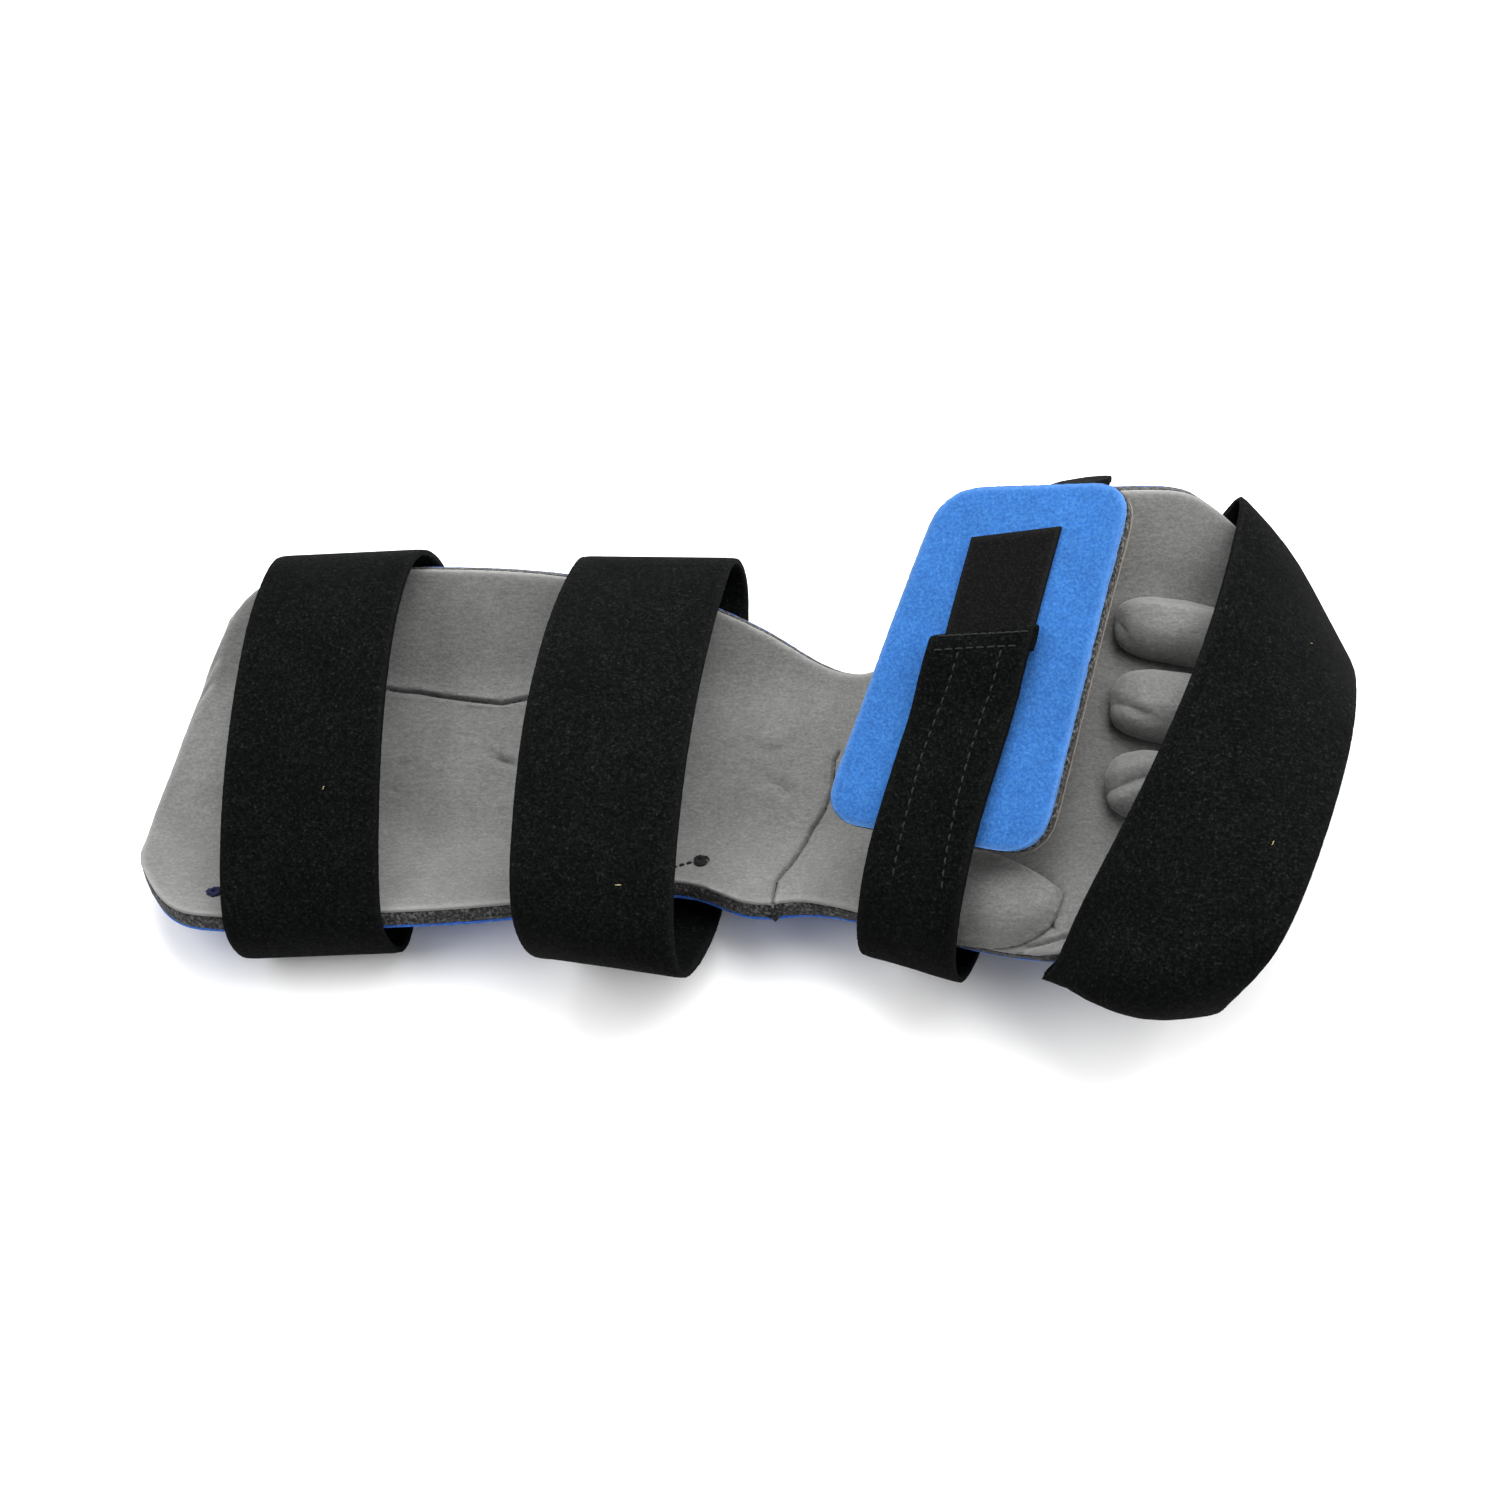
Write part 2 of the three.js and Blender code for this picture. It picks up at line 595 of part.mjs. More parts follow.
// Finger strap over the top, from far to near, for its two edges
const FINGER_LOOP = [
  { proximalSide: 1.00, proximalRise: -0.16, distalSide: 1.00, distalRise: -0.16 },
  { proximalSide: 1.00, proximalRise: 0.04, distalSide: 1.02, distalRise: 0.06 },
  { proximalSide: 0.84, proximalRise: 0.30, distalSide: 0.76, distalRise: 0.46 },
  { proximalSide: 0.45, proximalRise: 0.70, distalSide: 0.26, distalRise: 0.88 },
  { proximalSide: -0.05, proximalRise: 0.86, distalSide: -0.30, distalRise: 1.05 },
  { proximalSide: -0.50, proximalRise: 0.68, distalSide: -0.80, distalRise: 1.05 },
  { proximalSide: -0.88, proximalRise: 0.34, distalSide: -1.12, distalRise: 0.85 },
  { proximalSide: -0.99, proximalRise: 0.18, distalSide: -1.18, distalRise: 0.14 },
  { proximalSide: -1.02, proximalRise: -0.09, distalSide: -1.10, distalRise: -0.36 },
];
const FINGER_LINES = spread(0, 1, 4);
// How far the strap's near side bulges between its edges, as a share of the half span
const FINGER_STRAP_BULGE = 0.05;
// Shares of the rims at which the strap leaves the underside and at which its flat run starts
const LEAVES_AT = 0.94;
const FLAT_TO = 0.5;

function fingerLoop() {
  const { lerp } = THREE.MathUtils;
  const [inner, outer] = [STRAP_DEPTH, STRAP_DEPTH + LAYER];
  const distal = SHELL_LENGTH - FINGER_STRAP_SET;
  const proximal = distal - FINGER_STRAP_WIDTH / Math.cos(FINGER_STRAP_SLANT);
  const grid = FINGER_LINES.map((t) => {
    const line = slantedLine(lerp(proximal, distal, t), FINGER_STRAP_SLANT);
    const frame = strapFrame(line, FINGER_STRAP_LEAN);
    const [near, far] = [frame.near.g, frame.far.g];
    const under = (from, to, count, depth) => {
      return spread(from, to, count).map((g) => shellPoint(line(g), g, depth));
    };
    const over = FINGER_LOOP.map((row) => {
      const nearness = Math.max(0, -row.proximalSide);
      const bulge = FINGER_STRAP_BULGE * nearness * Math.sin(Math.PI * t);
      const side = lerp(row.proximalSide, row.distalSide, t) - bulge;
      const rise = lerp(row.proximalRise, row.distalRise, t);
      return framePoint(frame, side, rise * FINGER_STRAP_RISE);
    });
    return rounded([
      ...under(-FINGER_STRAP_LAP / 2, FLAT_TO * far, 2, inner),
      ...under(FLAT_TO * far, LEAVES_AT * far, 7, inner).slice(1),
      ...over,
      ...under(LEAVES_AT * near, FLAT_TO * near, 5, outer),
      ...under(FLAT_TO * near, FINGER_STRAP_LAP / 2, 2, outer).slice(1),
    ], 1);
  });
  return band(grid[0].map((_, i) => grid.map((line) => line[i])), STRAP_THICKNESS);
}

// Arch of the pad's face, from the far rim to below the near rim. side: place across as a share of
// the half span. rise: share of the strap's rise over the rims. turn: share by which the sheet's
// width turns from the palm's direction to that of the near rim.
const HAND_ARCH = [
  { side: 0.99, rise: 0.80, turn: 0.0 },
  { side: 0.70, rise: 0.92, turn: 0.0 },
  { side: 0.36, rise: 1.00, turn: 0.0 },
  { side: -0.05, rise: 1.00, turn: 0.2 },
  { side: -0.45, rise: 1.05, turn: 0.5 },
  { side: -0.78, rise: 0.95, turn: 0.8 },
  { side: -1.00, rise: 0.50, turn: 1.0 },
  { side: -1.04, rise: 0.05, turn: 1.0 },
  { side: -1.00, rise: -0.25, turn: 1.0 },
];
const HAND_LINE = along('palm', 0.71);

// Line of the hand strap on the pattern, at a distance from its middle line
function handLine(lateral) {
  return slantedLine(HAND_LINE + lateral / Math.cos(HAND_STRAP_SLANT), HAND_STRAP_SLANT);
}

const HAND_FRAME = strapFrame(handLine(0), HAND_STRAP_LEAN);
const ALONG_PALM = new THREE.Vector3(Math.cos(PAD_PITCH), 0, Math.sin(PAD_PITCH))
  .divideScalar(Math.cos(HAND_STRAP_SLANT));
const ALONG_RIM = rimOn(handLine(HAND_STRAP_WIDTH / 2), NEAR).point
  .sub(rimOn(handLine(-HAND_STRAP_WIDTH / 2), NEAR).point)
  .divideScalar(HAND_STRAP_WIDTH);

function archPoint(row, lateral) {
  const point = framePoint(HAND_FRAME, row.side, row.rise * HAND_STRAP_RISE);
  return point.addScaledVector(ALONG_PALM.clone().lerp(ALONG_RIM, row.turn), lateral);
}

// Points under the shell from one place across the pattern to another, along a hand strap's line
function underHand(lateral, from, to, count, depth) {
  const line = handLine(lateral);
  return spread(from, to, count).map((g) => shellPoint(line(g), g, depth));
}

const STRAP_LIFT = TAB_THICKNESS + 2 * GAP + STRAP_THICKNESS / 2;
// Share of the near rim at which the strap is tucked under the shell
const TUCKED_AT = 0.86;

// The surface that the pad's face follows, cut along the strap's direction. The near strap lies over it.
function handChain(lateral) {
  const limit = HAND_STRAP_WIDTH / 2;
  const held = THREE.MathUtils.clamp(lateral, -limit, limit);
  const start = TUCKED_AT * rimOn(handLine(held), NEAR).g;
  return rounded([
    ...HAND_ARCH.map((row) => archPoint(row, lateral)),
    ...underHand(held, start, start + HAND_STRAP_HOLD, 3, STRAP_DEPTH - STRAP_LIFT),
  ], 2);
}

// Distances along the arch: the pad starts at its far end, and the strap's sewn end lies on the tab
const PAD_START = PAD_FAR_SET;
const TAB_START = PAD_START + TAB_SET;
const SEWN_END = TAB_START + TAB_LENGTH / 2;
const PAD_THICKNESS = PAD_FACE + PAD_FOAM + PAD_LINING + 2 * GAP;
const TAB_LIFT = GAP + TAB_THICKNESS / 2;
const REACH = 2;

// Point over the pad's face, at a distance along the arch and a place across it
function onArch(distance, lateral, lift) {
  const places = [distance, Math.max(distance - REACH, 0), distance + REACH];
  const [point, before, after] = atDistances(handChain(lateral), places);
  const inward = lateral > 0 ? -1 : 1;
  const [beside] = atDistances(handChain(lateral + inward), [distance]);
  const normal = after.sub(before).cross(beside.sub(point)).normalize();
  return point.addScaledVector(normal, lift * inward);
}

// Stations along the pad with the half width and the middle at each
function padRows() {
  const corner = [0, 0.08, 0.3, 0.62, 1].map((share) => share * PAD_CORNER);
  const distances = [
    ...corner,
    ...spread(PAD_CORNER, PAD_LENGTH - PAD_CORNER, 9).slice(1, -1),
    ...corner.map((d) => PAD_LENGTH - d).reverse(),
  ];
  return distances.map((distance) => {
    const share = distance / PAD_LENGTH;
    const pull = cornerPull(PAD_CORNER, Math.min(distance, PAD_LENGTH - distance));
    const width = THREE.MathUtils.lerp(PAD_FAR_WIDTH, PAD_NEAR_WIDTH, share);
    const skew = THREE.MathUtils.lerp(PAD_FAR_SKEW, PAD_NEAR_SKEW, share) / width;
    return { distance, half: width / 2 - pull, middle: PAD_SHIFT * (1 - share), skew };
  });
}

function padGrid(lift) {
  return padRows().map(({ distance, half, middle, skew }) => spread(-half, half, 5).map((across) => {
    return onArch(PAD_START + distance + skew * across, middle + across, lift);
  }));
}

function addPad() {
  let depth = 0;
  for (const [name, thickness, colour] of [
    ['hand_pad_face', PAD_FACE, BLUE],
    ['hand_pad_foam', PAD_FOAM, FOAM_GREY],
    ['hand_pad_lining', PAD_LINING, GREY],
  ]) {
    addMesh(name, solidBetween(padGrid(-depth - thickness), padGrid(-depth)), colour, 0.95);
    depth += thickness + GAP;
  }
  const edges = [TAB_SHIFT - TAB_WIDTH / 2, TAB_SHIFT + TAB_WIDTH / 2];
  const tab = spread(TAB_START, TAB_START + TAB_LENGTH, 8).map((distance) => {
    return edges.map((lateral) => onArch(distance, lateral, TAB_LIFT));
  });
  addMesh('hook_tab', band(tab, TAB_THICKNESS), BLACK, 0.9);
}

const HAND_STRAP_LINES = spread(-HAND_STRAP_WIDTH / 2, HAND_STRAP_WIDTH / 2, 3);

// How far the near strap stands towards the fingers, most at its sewn end
function drift(distance) {
  return HAND_STRAP_DRIFT * Math.max(0, 1 - (distance - SEWN_END) / HAND_STRAP_DRIFT_LENGTH);
}

// The near strap runs from its folded end on the tab round the near rim to the underside
function nearHandStrap() {
  const length = Math.min(...HAND_STRAP_LINES.map((lateral) => chainLength(handChain(lateral))));
  const bend = LAYER / 2;
  const fold = spread(-90, 90, 4).map((turn) => ({
    distance: SEWN_END + bend * (1 - Math.cos(rad(turn))),
    lift: bend * (1 + Math.sin(rad(turn))),
  }));
  const rows = [
    { distance: SEWN_END + HEM_LENGTH, lift: 0 },
    ...fold,
    { distance: SEWN_END + 1.3 * HEM_LENGTH, lift: LAYER },
    ...spread(SEWN_END + 3 * HEM_LENGTH, length, 22).map((distance) => ({ distance, lift: 0 })),
  ];
  const grid = rows.map(({ distance, lift }) => HAND_STRAP_LINES.map((lateral) => {
    return onArch(distance, lateral + drift(distance), STRAP_LIFT + lift);
  }));
  return band(grid, STRAP_THICKNESS);
}

// The far strap is held under the pad's lining, and runs over the far rim to the underside
function farHandStrap() {
  const drop = PAD_THICKNESS + GAP + STRAP_THICKNESS / 2;
  const past = GAP + STRAP_THICKNESS;
  const turn = 0.3 * STRAP_DEPTH;
  const held = spread(PAD_START + FAR_STRAP_HOLD, PAD_START, 3);
  const grid = HAND_STRAP_LINES.map((lateral) => {
    const line = handLine(lateral);
    const { g } = rimOn(line, FAR);
    return rounded([
      ...held.map((distance) => onArch(distance, lateral, -drop)),
      shellPoint(line(g + past), g + past, turn),
      shellPoint(line(g + past), g + past, STRAP_DEPTH),
      ...underHand(lateral, g - past, g - past - FAR_STRAP_HOLD, 5, STRAP_DEPTH),
    ], 2);
  });
  return band(grid[0].map((_, i) => grid.map((line) => line[i])), STRAP_THICKNESS);
}

addShell();
addRolls();
const proximalLoop = forearmLoop(PROXIMAL_LOOP, PROXIMAL_STRAP_START, PROXIMAL_STRAP_RISE);
const distalLoop = forearmLoop(DISTAL_LOOP, DISTAL_STRAP_START, DISTAL_STRAP_RISE);
addMesh('forearm_strap_proximal', proximalLoop, BLACK, 0.9);
addMesh('forearm_strap_distal', distalLoop, BLACK, 0.9);
addMesh('finger_strap', fingerLoop(), BLACK, 0.9);
addPad();
addMesh('hand_strap', nearHandStrap(), BLACK, 0.9);
addMesh('hand_strap_far', farHandStrap(), BLACK, 0.9);

// The origin is under the middle of the whole, at the height that it rests on
group.updateMatrixWorld(true);
const bounds = new THREE.Box3().setFromObject(group);
const middle = bounds.getCenter(new THREE.Vector3());
for (const mesh of group.children) mesh.geometry.translate(-middle.x, -middle.y, -bounds.min.z);

export default group;
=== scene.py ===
import math

import bmesh
import bpy
from mathutils import Matrix, Vector, noise
from mathutils.bvhtree import BVHTree
from mathutils.kdtree import KDTree


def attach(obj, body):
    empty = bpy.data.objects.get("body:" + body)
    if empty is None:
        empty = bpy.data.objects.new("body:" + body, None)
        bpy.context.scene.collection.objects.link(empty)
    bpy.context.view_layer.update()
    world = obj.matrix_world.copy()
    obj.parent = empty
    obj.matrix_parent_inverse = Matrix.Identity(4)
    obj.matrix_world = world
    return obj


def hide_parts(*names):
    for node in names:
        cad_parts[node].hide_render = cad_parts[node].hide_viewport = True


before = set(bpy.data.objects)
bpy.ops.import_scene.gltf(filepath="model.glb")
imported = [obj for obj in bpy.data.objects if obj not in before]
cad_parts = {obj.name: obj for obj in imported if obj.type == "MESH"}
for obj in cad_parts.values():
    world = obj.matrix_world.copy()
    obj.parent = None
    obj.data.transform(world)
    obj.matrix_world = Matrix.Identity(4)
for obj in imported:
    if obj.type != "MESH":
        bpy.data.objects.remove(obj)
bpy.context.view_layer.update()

# Units and meshing
MM = 0.001
JOIN = 0.00001
# Triangles are joined into faces up to this bend and this skew
FACE_BEND = math.radians(35)
FACE_SKEW = math.radians(60)
# An edge that turns by more than this is a cut edge, and is marked in steps
EDGE_TURN = math.radians(50)
EDGE_STEP = 0.8 * MM
# The longest edge of a face before the last smoothing, where the cloth shows and where it hides
CLOTH_FACE = 3.2 * MM
HIDDEN_FACE = 4.5 * MM
MOST_CUTS = 6

# The camera: what it looks at, the way it looks from, its distance and its lens
AIM = (0.006414, 0.006961, 0.020279)
VIEW_FROM = (0.25, -0.34, 0.9066)
VIEW_DISTANCE = 1.1
LENS = 87.12
SENSOR = 36

# The light and the floor: the sky's strength, and the lights' and the floor's sizes in metres
SKY = 0.3
LIGHT_SIZE = 1.3
# Each light: its place in metres and its power in watts
LIGHTS = {
    "far_light": ((0, 1.3, 1.09), 36),
    "key_light": ((0.69, 0.69, 1.39), 33),
    "right_light": ((1.39, 0, 0.98), 22),
    "left_light": ((-0.85, 0, 1.47), 18),
}
FLOOR_SIZE = 3.0
FLOOR_DROP = 0.1 * MM
FLOOR_GRAIN = 60 * MM
FLOOR_DARK = (0.95, 0.95, 0.945)
FLOOR_LIGHT = (0.96, 0.96, 0.955)

# How much each layer of the shell and of the pad grows into the gap beside it
LAYER_GROWTH = 0.11 * MM
# How far a cut edge is rounded off, and how uneven it stands
LINER_ROUNDING = 0.18 * MM
LINER_RAGGED = 0.12 * MM
FOAM_RAGGED = 0.3 * MM
BACKING_RAGGED = 0.1 * MM
STRAP_ROUNDING = 0.38 * MM
STRAP_RAGGED = 0.1 * MM
PAD_ROUNDING = 0.4 * MM
PAD_RAGGED = 0.2 * MM
PAD_FOAM_RAGGED = 0.15 * MM
PAD_LINING_ROUNDING = 0.1 * MM
PAD_LINING_RAGGED = 0.15 * MM
PATCH_ROUNDING = 0.15 * MM
PATCH_RAGGED = 0.05 * MM
# The size of the lumps along a cut edge, and how far in from it the cloth is worn
EDGE_LUMP = 1.7 * MM
WORN_REACH = 1.3 * MM

# How strongly a cloth and the straps' nap shine
CLOTH_SHINE = 0.2
STRAP_SHINE = 0.03
PATCH_SHINE = 0.06

# The stuffed rolls: their faces, the stuffing's push and steps, and how far it may swell a cover
ROLL_VOXEL = 1.6 * MM
ROLL_PRESSURE = 4.0
STUFFING_STEPS = 20
ROLL_SWELL = 1.9 * MM
MOUND_SWELL = 1.4 * MM
# A cover this near to the lining is sewn down. The mound's skirt runs out so far, up to this height
SEWN_DOWN = 1.2 * MM
MOUND_SKIRT = 3.2 * MM
SKIRT_HEIGHT = 2.4 * MM
# The lumps of the stuffing on top
LUMP_HEIGHT = 0.3 * MM
LUMP_SIZE = 7 * MM

# Threads: how round they are, their ends' share of their thickness, and the sewing along the strap
THREAD_ROUNDING = 2
THREAD_END = 0.55
STITCH_THREAD = 0.26 * MM
STITCH_LENGTH = 2.1 * MM
STITCH_PITCH = 3.4 * MM
STITCH_LIFT = 0.2 * MM
# A stitch's shape: the share of its length, and its height there as a share of its lift
STITCH_SHAPE = ((0, -0.6), (0.25, 0.6), (0.5, 1), (0.75, 0.6), (1, -0.6))
# The rows across the strap's end are sewn closer, with these gaps
ACROSS_LENGTH = 2.4 * MM
ACROSS_GAPS = (0.2 * MM, 0.9 * MM)
ACROSS_LIFT = 0.22 * MM
# The dark knot's tail of stitches
TAIL_LENGTH = 1.6 * MM
TAIL_PITCH = 2.3 * MM
TAIL_LIFT = 0.35 * MM
# The knots: their thread, and each one's size, turns and twist
KNOT_THREAD = 0.5 * MM
DARK_WINDING = (1.6 * MM, 9, 1.37)
NAVY_WINDING = (1.8 * MM, 8, 1.61)
# The points in a turn, the lumps in a turn, and how sharply the loose ends run out
KNOT_POINTS = 12
KNOT_LUMPS = 3.1
KNOT_END = 12
# A knot's reach in shares of its size (core, pulse, lumps, loose ends), and its length, width, height
KNOT_REACH = (0.5, 0.3, 0.35, 0.9)
KNOT_STRETCH = (1.2, 0.85, 0.4)
# The lint: its thickness, its lift off the nap, and how far and how quickly it bends
LINT_THREAD = 0.14 * MM
LINT_LIFT = 0.15 * MM
LINT_SWAY = 0.3 * MM
LINT_CURL = 900
LINT_PARTS = 3

# Creases, in half widths: how far in from its ends one reaches its full depth, how far it reaches
# sideways, how far its faces are made small, and where its shoulders stand
CREASE_FADE = 3.0
CREASE_REACH = 5
CREASE_FINE = 3
SHOULDER_AWAY = 2.6
# The crease depth in mm at which the painted crease shade is darkest, and how that painted shade varies
# in patches
CREASE_SHADE_FULL_DEPTH = 1.9
CREASE_SHADE_MEAN = 0.75
CREASE_SHADE_UNEVEN = 0.5
CREASE_SHADE_PATCH = 6 * MM
# How far up a face looks that counts as the top of a roll
TOP_FACING = 0.1
# Creases pressed into the lining, in mm: points, depth, half width and the height of the shoulders
LINING_CREASES = (
    (((-118, 30.5), (-110.7, 29.3), (-105.6, 29), (-97.2, 27.6), (-87.1, 26.3), (-77.2, 25.3),
      (-69.1, 26.9), (-62, 27.5)), 1.9, 0.5, 0.5),
    (((-110.3, 4.3), (-107.7, 4.9), (-103.9, 6.3)), 0.8, 1.0, 0.3),
    (((-112.2, -3.7), (-106.6, -3.7)), 0.6, 0.8, 0.2),
    (((-79.1, 8), (-75, 6.3), (-69, 4.6)), 1.1, 0.9, 0.4),
    (((33.2, 9.5), (31.3, 5.9), (31.4, -3.7), (28.7, -11.4), (26.2, -15.5), (24.8, -19.5),
      (21.7, -27.8), (18.5, -34.7), (18.9, -44), (19.1, -54)), 1.8, 0.45, 0.7),
    (((8, 0.5), (14.5, -1.5), (21, -6.5)), 0.5, 1.4, 0.3),
    (((4, 11), (12, 10), (19, 13)), 0.4, 1.4, 0.25),
    (((97.6, -61), (105.4, -60.3), (113.4, -59)), 1.1, 0.5, 0.5),
    (((103.5, -52.5), (108.3, -57.6)), 1.4, 0.7, 0.3),
)
SEPARATOR_FOLDS = {
    "finger_separator_1": ((((119, 38.6), (122.7, 33.5), (126.5, 29.5)), 0.6, 1.3, 0.2),),
    "finger_separator_2": ((((119, 11), (125.8, 8.6), (130.2, 6.4), (135.9, 5.2)), 0.9, 1.2, 0.3),),
    "finger_separator_3": ((((117, -17.5), (123.1, -15.8), (127.1, -14.6), (131.5, -13.4),
                             (142, -12)), 1.6, 1.5, 0.4),),
}
MOUND_FOLDS = ((((84, -40), (92, -39.5), (98, -40.5), (104, -42.5)), 0.7, 2.0, 0.3),)

# The seam that holds the mound back towards the palm, and the share it is held back by
MOUND_LINE = ((82, -30), (108, -45))
MOUND_HOLD = 0.8
# Where the finger strap hangs out of its even curve, in mm: the place, the step and the reach
STRAP_PULLS = (
    ((104, -70, 42), (3.5, 1.2, 1), 18),
    ((139, -77, 56), (-1, -4.5, -1), 26),
    ((160, -75, 52), (-3, -1, 0), 14),
)

# Where the hand strap is sewn, in mm: two rows across its end, two rows down its length
ACROSS_ROWS = (
    ((73.5, 22.1, 73), (82.9, 21.5, 75.6), (92.2, 20.9, 78), (101.5, 20.4, 80.2)),
    ((72.5, 17.9, 72.6), (81.9, 17.5, 74.9), (91.2, 17, 77.1), (100.4, 16.5, 79.3)),
)
ALONG_ROWS = (
    ((79.9, 16.6, 74.2), (77.6, 9.1, 71.4), (73.6, 0, 67.3), (69.6, -11.2, 64.6),
     (66.5, -23.9, 61.9), (63.4, -36.2, 58.2), (61.3, -45.4, 54.1)),
    ((92.9, 15.9, 77.4), (90.9, 7.9, 74.2), (87.4, -1.3, 70.5), (84, -12.5, 68.1),
     (80.9, -25.1, 65.4), (78.2, -38.8, 61.7), (76.4, -50.7, 56.8)),
)
# Where the thread knots lie on the lining, in mm
DARK_KNOT = (-6.4, -28.0, 18.5)
DARK_TAIL = ((-9, -28.6, 18), (-15, -30.8, 19.5), (-21, -33.4, 21))
NAVY_KNOT = (-157.8, -42.3, 26.9)
# Bits of lint on the straps: the strap, the place in mm, the length in mm and the way it points
LINT = (
    ("forearm_strap_distal", (-19, -50, 60.8), 1.8, (1, 0.1, 0)),
    ("finger_strap", (170.1, -37.2, 63.1), 1.6, (0.3, 1, 0)),
    ("finger_strap", (176.5, 32.3, 40.6), 1.4, (1, 0.5, 0)),
    ("finger_strap", (148, -60, 62), 1.2, (1, -0.6, 0)),
    ("forearm_strap_proximal", (-118, -18, 55), 1.3, (0.4, 1, 0)),
)


# Pieces

def shown(name, mesh):
    """An object of the scene, at the origin."""
    piece = bpy.data.objects.new(name, mesh)
    bpy.context.scene.collection.objects.link(piece)
    return piece


def settled(piece):
    """Keeps what the piece's modifiers made of it."""
    graph = bpy.context.evaluated_depsgraph_get()
    made = bpy.data.meshes.new_from_object(piece.evaluated_get(graph))
    rough = piece.data
    piece.modifiers.clear()
    piece.data = made
    bpy.data.meshes.remove(rough)


def node_mesh(node):
    """The node's mesh with its loose triangles joined into faces."""
    mesh = bmesh.new()
    mesh.from_mesh(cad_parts[node].data)
    bmesh.ops.remove_doubles(mesh, verts=mesh.verts, dist=JOIN)
    bmesh.ops.join_triangles(
        mesh,
        faces=mesh.faces,
        angle_face_threshold=FACE_BEND,
        angle_shape_threshold=FACE_SKEW,
    )
    return mesh


def cut_edges(mesh):
    """Holds the sharp edges in place and gives points along them."""
    layers = mesh.edges.layers.float
    held = layers.get("crease_edge") or layers.new("crease_edge")
    points = []
    for edge in mesh.edges:
        edge[held] = 0.0
        if not edge.is_manifold or edge.calc_face_angle() < EDGE_TURN:
            continue
        edge[held] = 1.0
        start, end = edge.verts[0].co, edge.verts[1].co
        steps = max(1, math.ceil((end - start).length / EDGE_STEP))
        points += [start.lerp(end, step / steps) for step in range(steps + 1)]
    return points


def mark_worn(piece, points):
    """Marks how near each point of the cloth is to a cut edge."""
    tree = KDTree(len(points))
    for index, point in enumerate(points):
        tree.insert(point, index)
    tree.balance()
    worn = piece.data.attributes.new("worn", "FLOAT", "POINT")
    for vertex in piece.data.vertices:
        away = tree.find(vertex.co)[2] / WORN_REACH
        worn.data[vertex.index].value = math.exp(-away * away)


def smoothed(piece, levels):
    """Rounds the piece's faces into a smooth surface."""
    smoothing = piece.modifiers.new("smoothing", "SUBSURF")
    smoothing.levels = levels
    smoothing.render_levels = levels
    settled(piece)


def finer(piece, longest, edges_near=None):
    """Cuts the long edges, or those that edges_near picks, and gives points along the cut edges."""
    mesh = bmesh.new()
    mesh.from_mesh(piece.data)
    for _ in range(MOST_CUTS if edges_near is None else 1):
        cut = [
            edge for edge in mesh.edges
            if edge.calc_length() > longest and (edges_near is None or edges_near(edge))
        ]
        if not cut:
            break
        bmesh.ops.subdivide_edges(mesh, edges=cut, cuts=1, use_grid_fill=True)
    points = cut_edges(mesh)
    mesh.to_mesh(piece.data)
    mesh.free()
    return points


def covered(name, mesh, finish):
    """A piece of that mesh, in one finish."""
    data = bpy.data.meshes.new(name)
    mesh.to_mesh(data)
    mesh.free()
    data.materials.append(finish)
    return shown(name, data)


def soft_copy(node, name, finish, longest):
    """A smooth copy of a soft solid, marked along its cut edges."""
    mesh = node_mesh(node)
    cut_edges(mesh)
    piece = covered(name, mesh, finish)
    smoothed(piece, 1)
    points = finer(piece, longest)
    smoothed(piece, 1)
    mark_worn(piece, points)
    return in_place(piece, node)


def in_place(piece, node):
    """Lets the piece stand for its node."""
    for face in piece.data.polygons:
        face.use_smooth = True
    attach(piece, "root")
    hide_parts(node)
    return piece


def moved(piece, shift):
    """Moves each point of the piece by what shift says of it."""
    worn = piece.data.attributes.get("worn")
    steps = [
        shift(vertex.co, vertex.normal, worn.data[vertex.index].value if worn else 0.0)
        for vertex in piece.data.vertices
    ]
    for vertex, step in zip(piece.data.vertices, steps):
        if step is not None:
            vertex.co += step
    piece.data.update()


def uneven(place, size):
    """Smooth noise from -1 to 1 with lumps of that size."""
    return noise.noise(place / size)


def grown(piece, growth, rounding, ragged):
    """Fills the gap round a layer, rounds its cut edges off and roughens them."""
    def shift(place, normal, worn):
        rough = ragged * worn * uneven(place, EDGE_LUMP)
        return normal * (growth - rounding * worn + rough)
    moved(piece, shift)


# Creases

def away_from(line, x, y):
    """The distance from a point to a line of points, seen from above."""
    best = math.inf
    for (x0, y0), (x1, y1) in zip(line, line[1:]):
        dx, dy = x1 - x0, y1 - y0
        share = ((x - x0) * dx + (y - y0) * dy) / (dx * dx + dy * dy)
        share = min(1, max(0, share))
        best = min(best, math.hypot(x - x0 - share * dx, y - y0 - share * dy))
    return best


def depth_at(line, half, x, y):
    """The share of a crease's depth at a point. It fades out towards the crease's ends."""
    to_end = min(math.hypot(x - end[0], y - end[1]) for end in (line[0], line[-1]))
    fade = 1 - math.exp(-((to_end / half / CREASE_FADE) ** 2))
    return fade * math.exp(-away_from(line, x, y) / half)


def mark_painted_crease_shade(piece, creases):
    """Marks how deep in a crease each point of the cloth is, as the share of painted crease shade it
    gets.
    """
    painted_crease_shade = piece.data.attributes.new("painted_crease_shade", "FLOAT", "POINT")
    for vertex in piece.data.vertices:
        x, y = vertex.co.x / MM, vertex.co.y / MM
        for line, depth, half, _ in creases:
            if line_near(line, x, y, CREASE_REACH * half):
                deep = depth / CREASE_SHADE_FULL_DEPTH * depth_at(line, half, x, y)
                deep *= CREASE_SHADE_MEAN + CREASE_SHADE_UNEVEN * uneven(vertex.co, CREASE_SHADE_PATCH)
                painted_crease_shade.data[vertex.index].value = max(painted_crease_shade.data[vertex.index].value, deep)


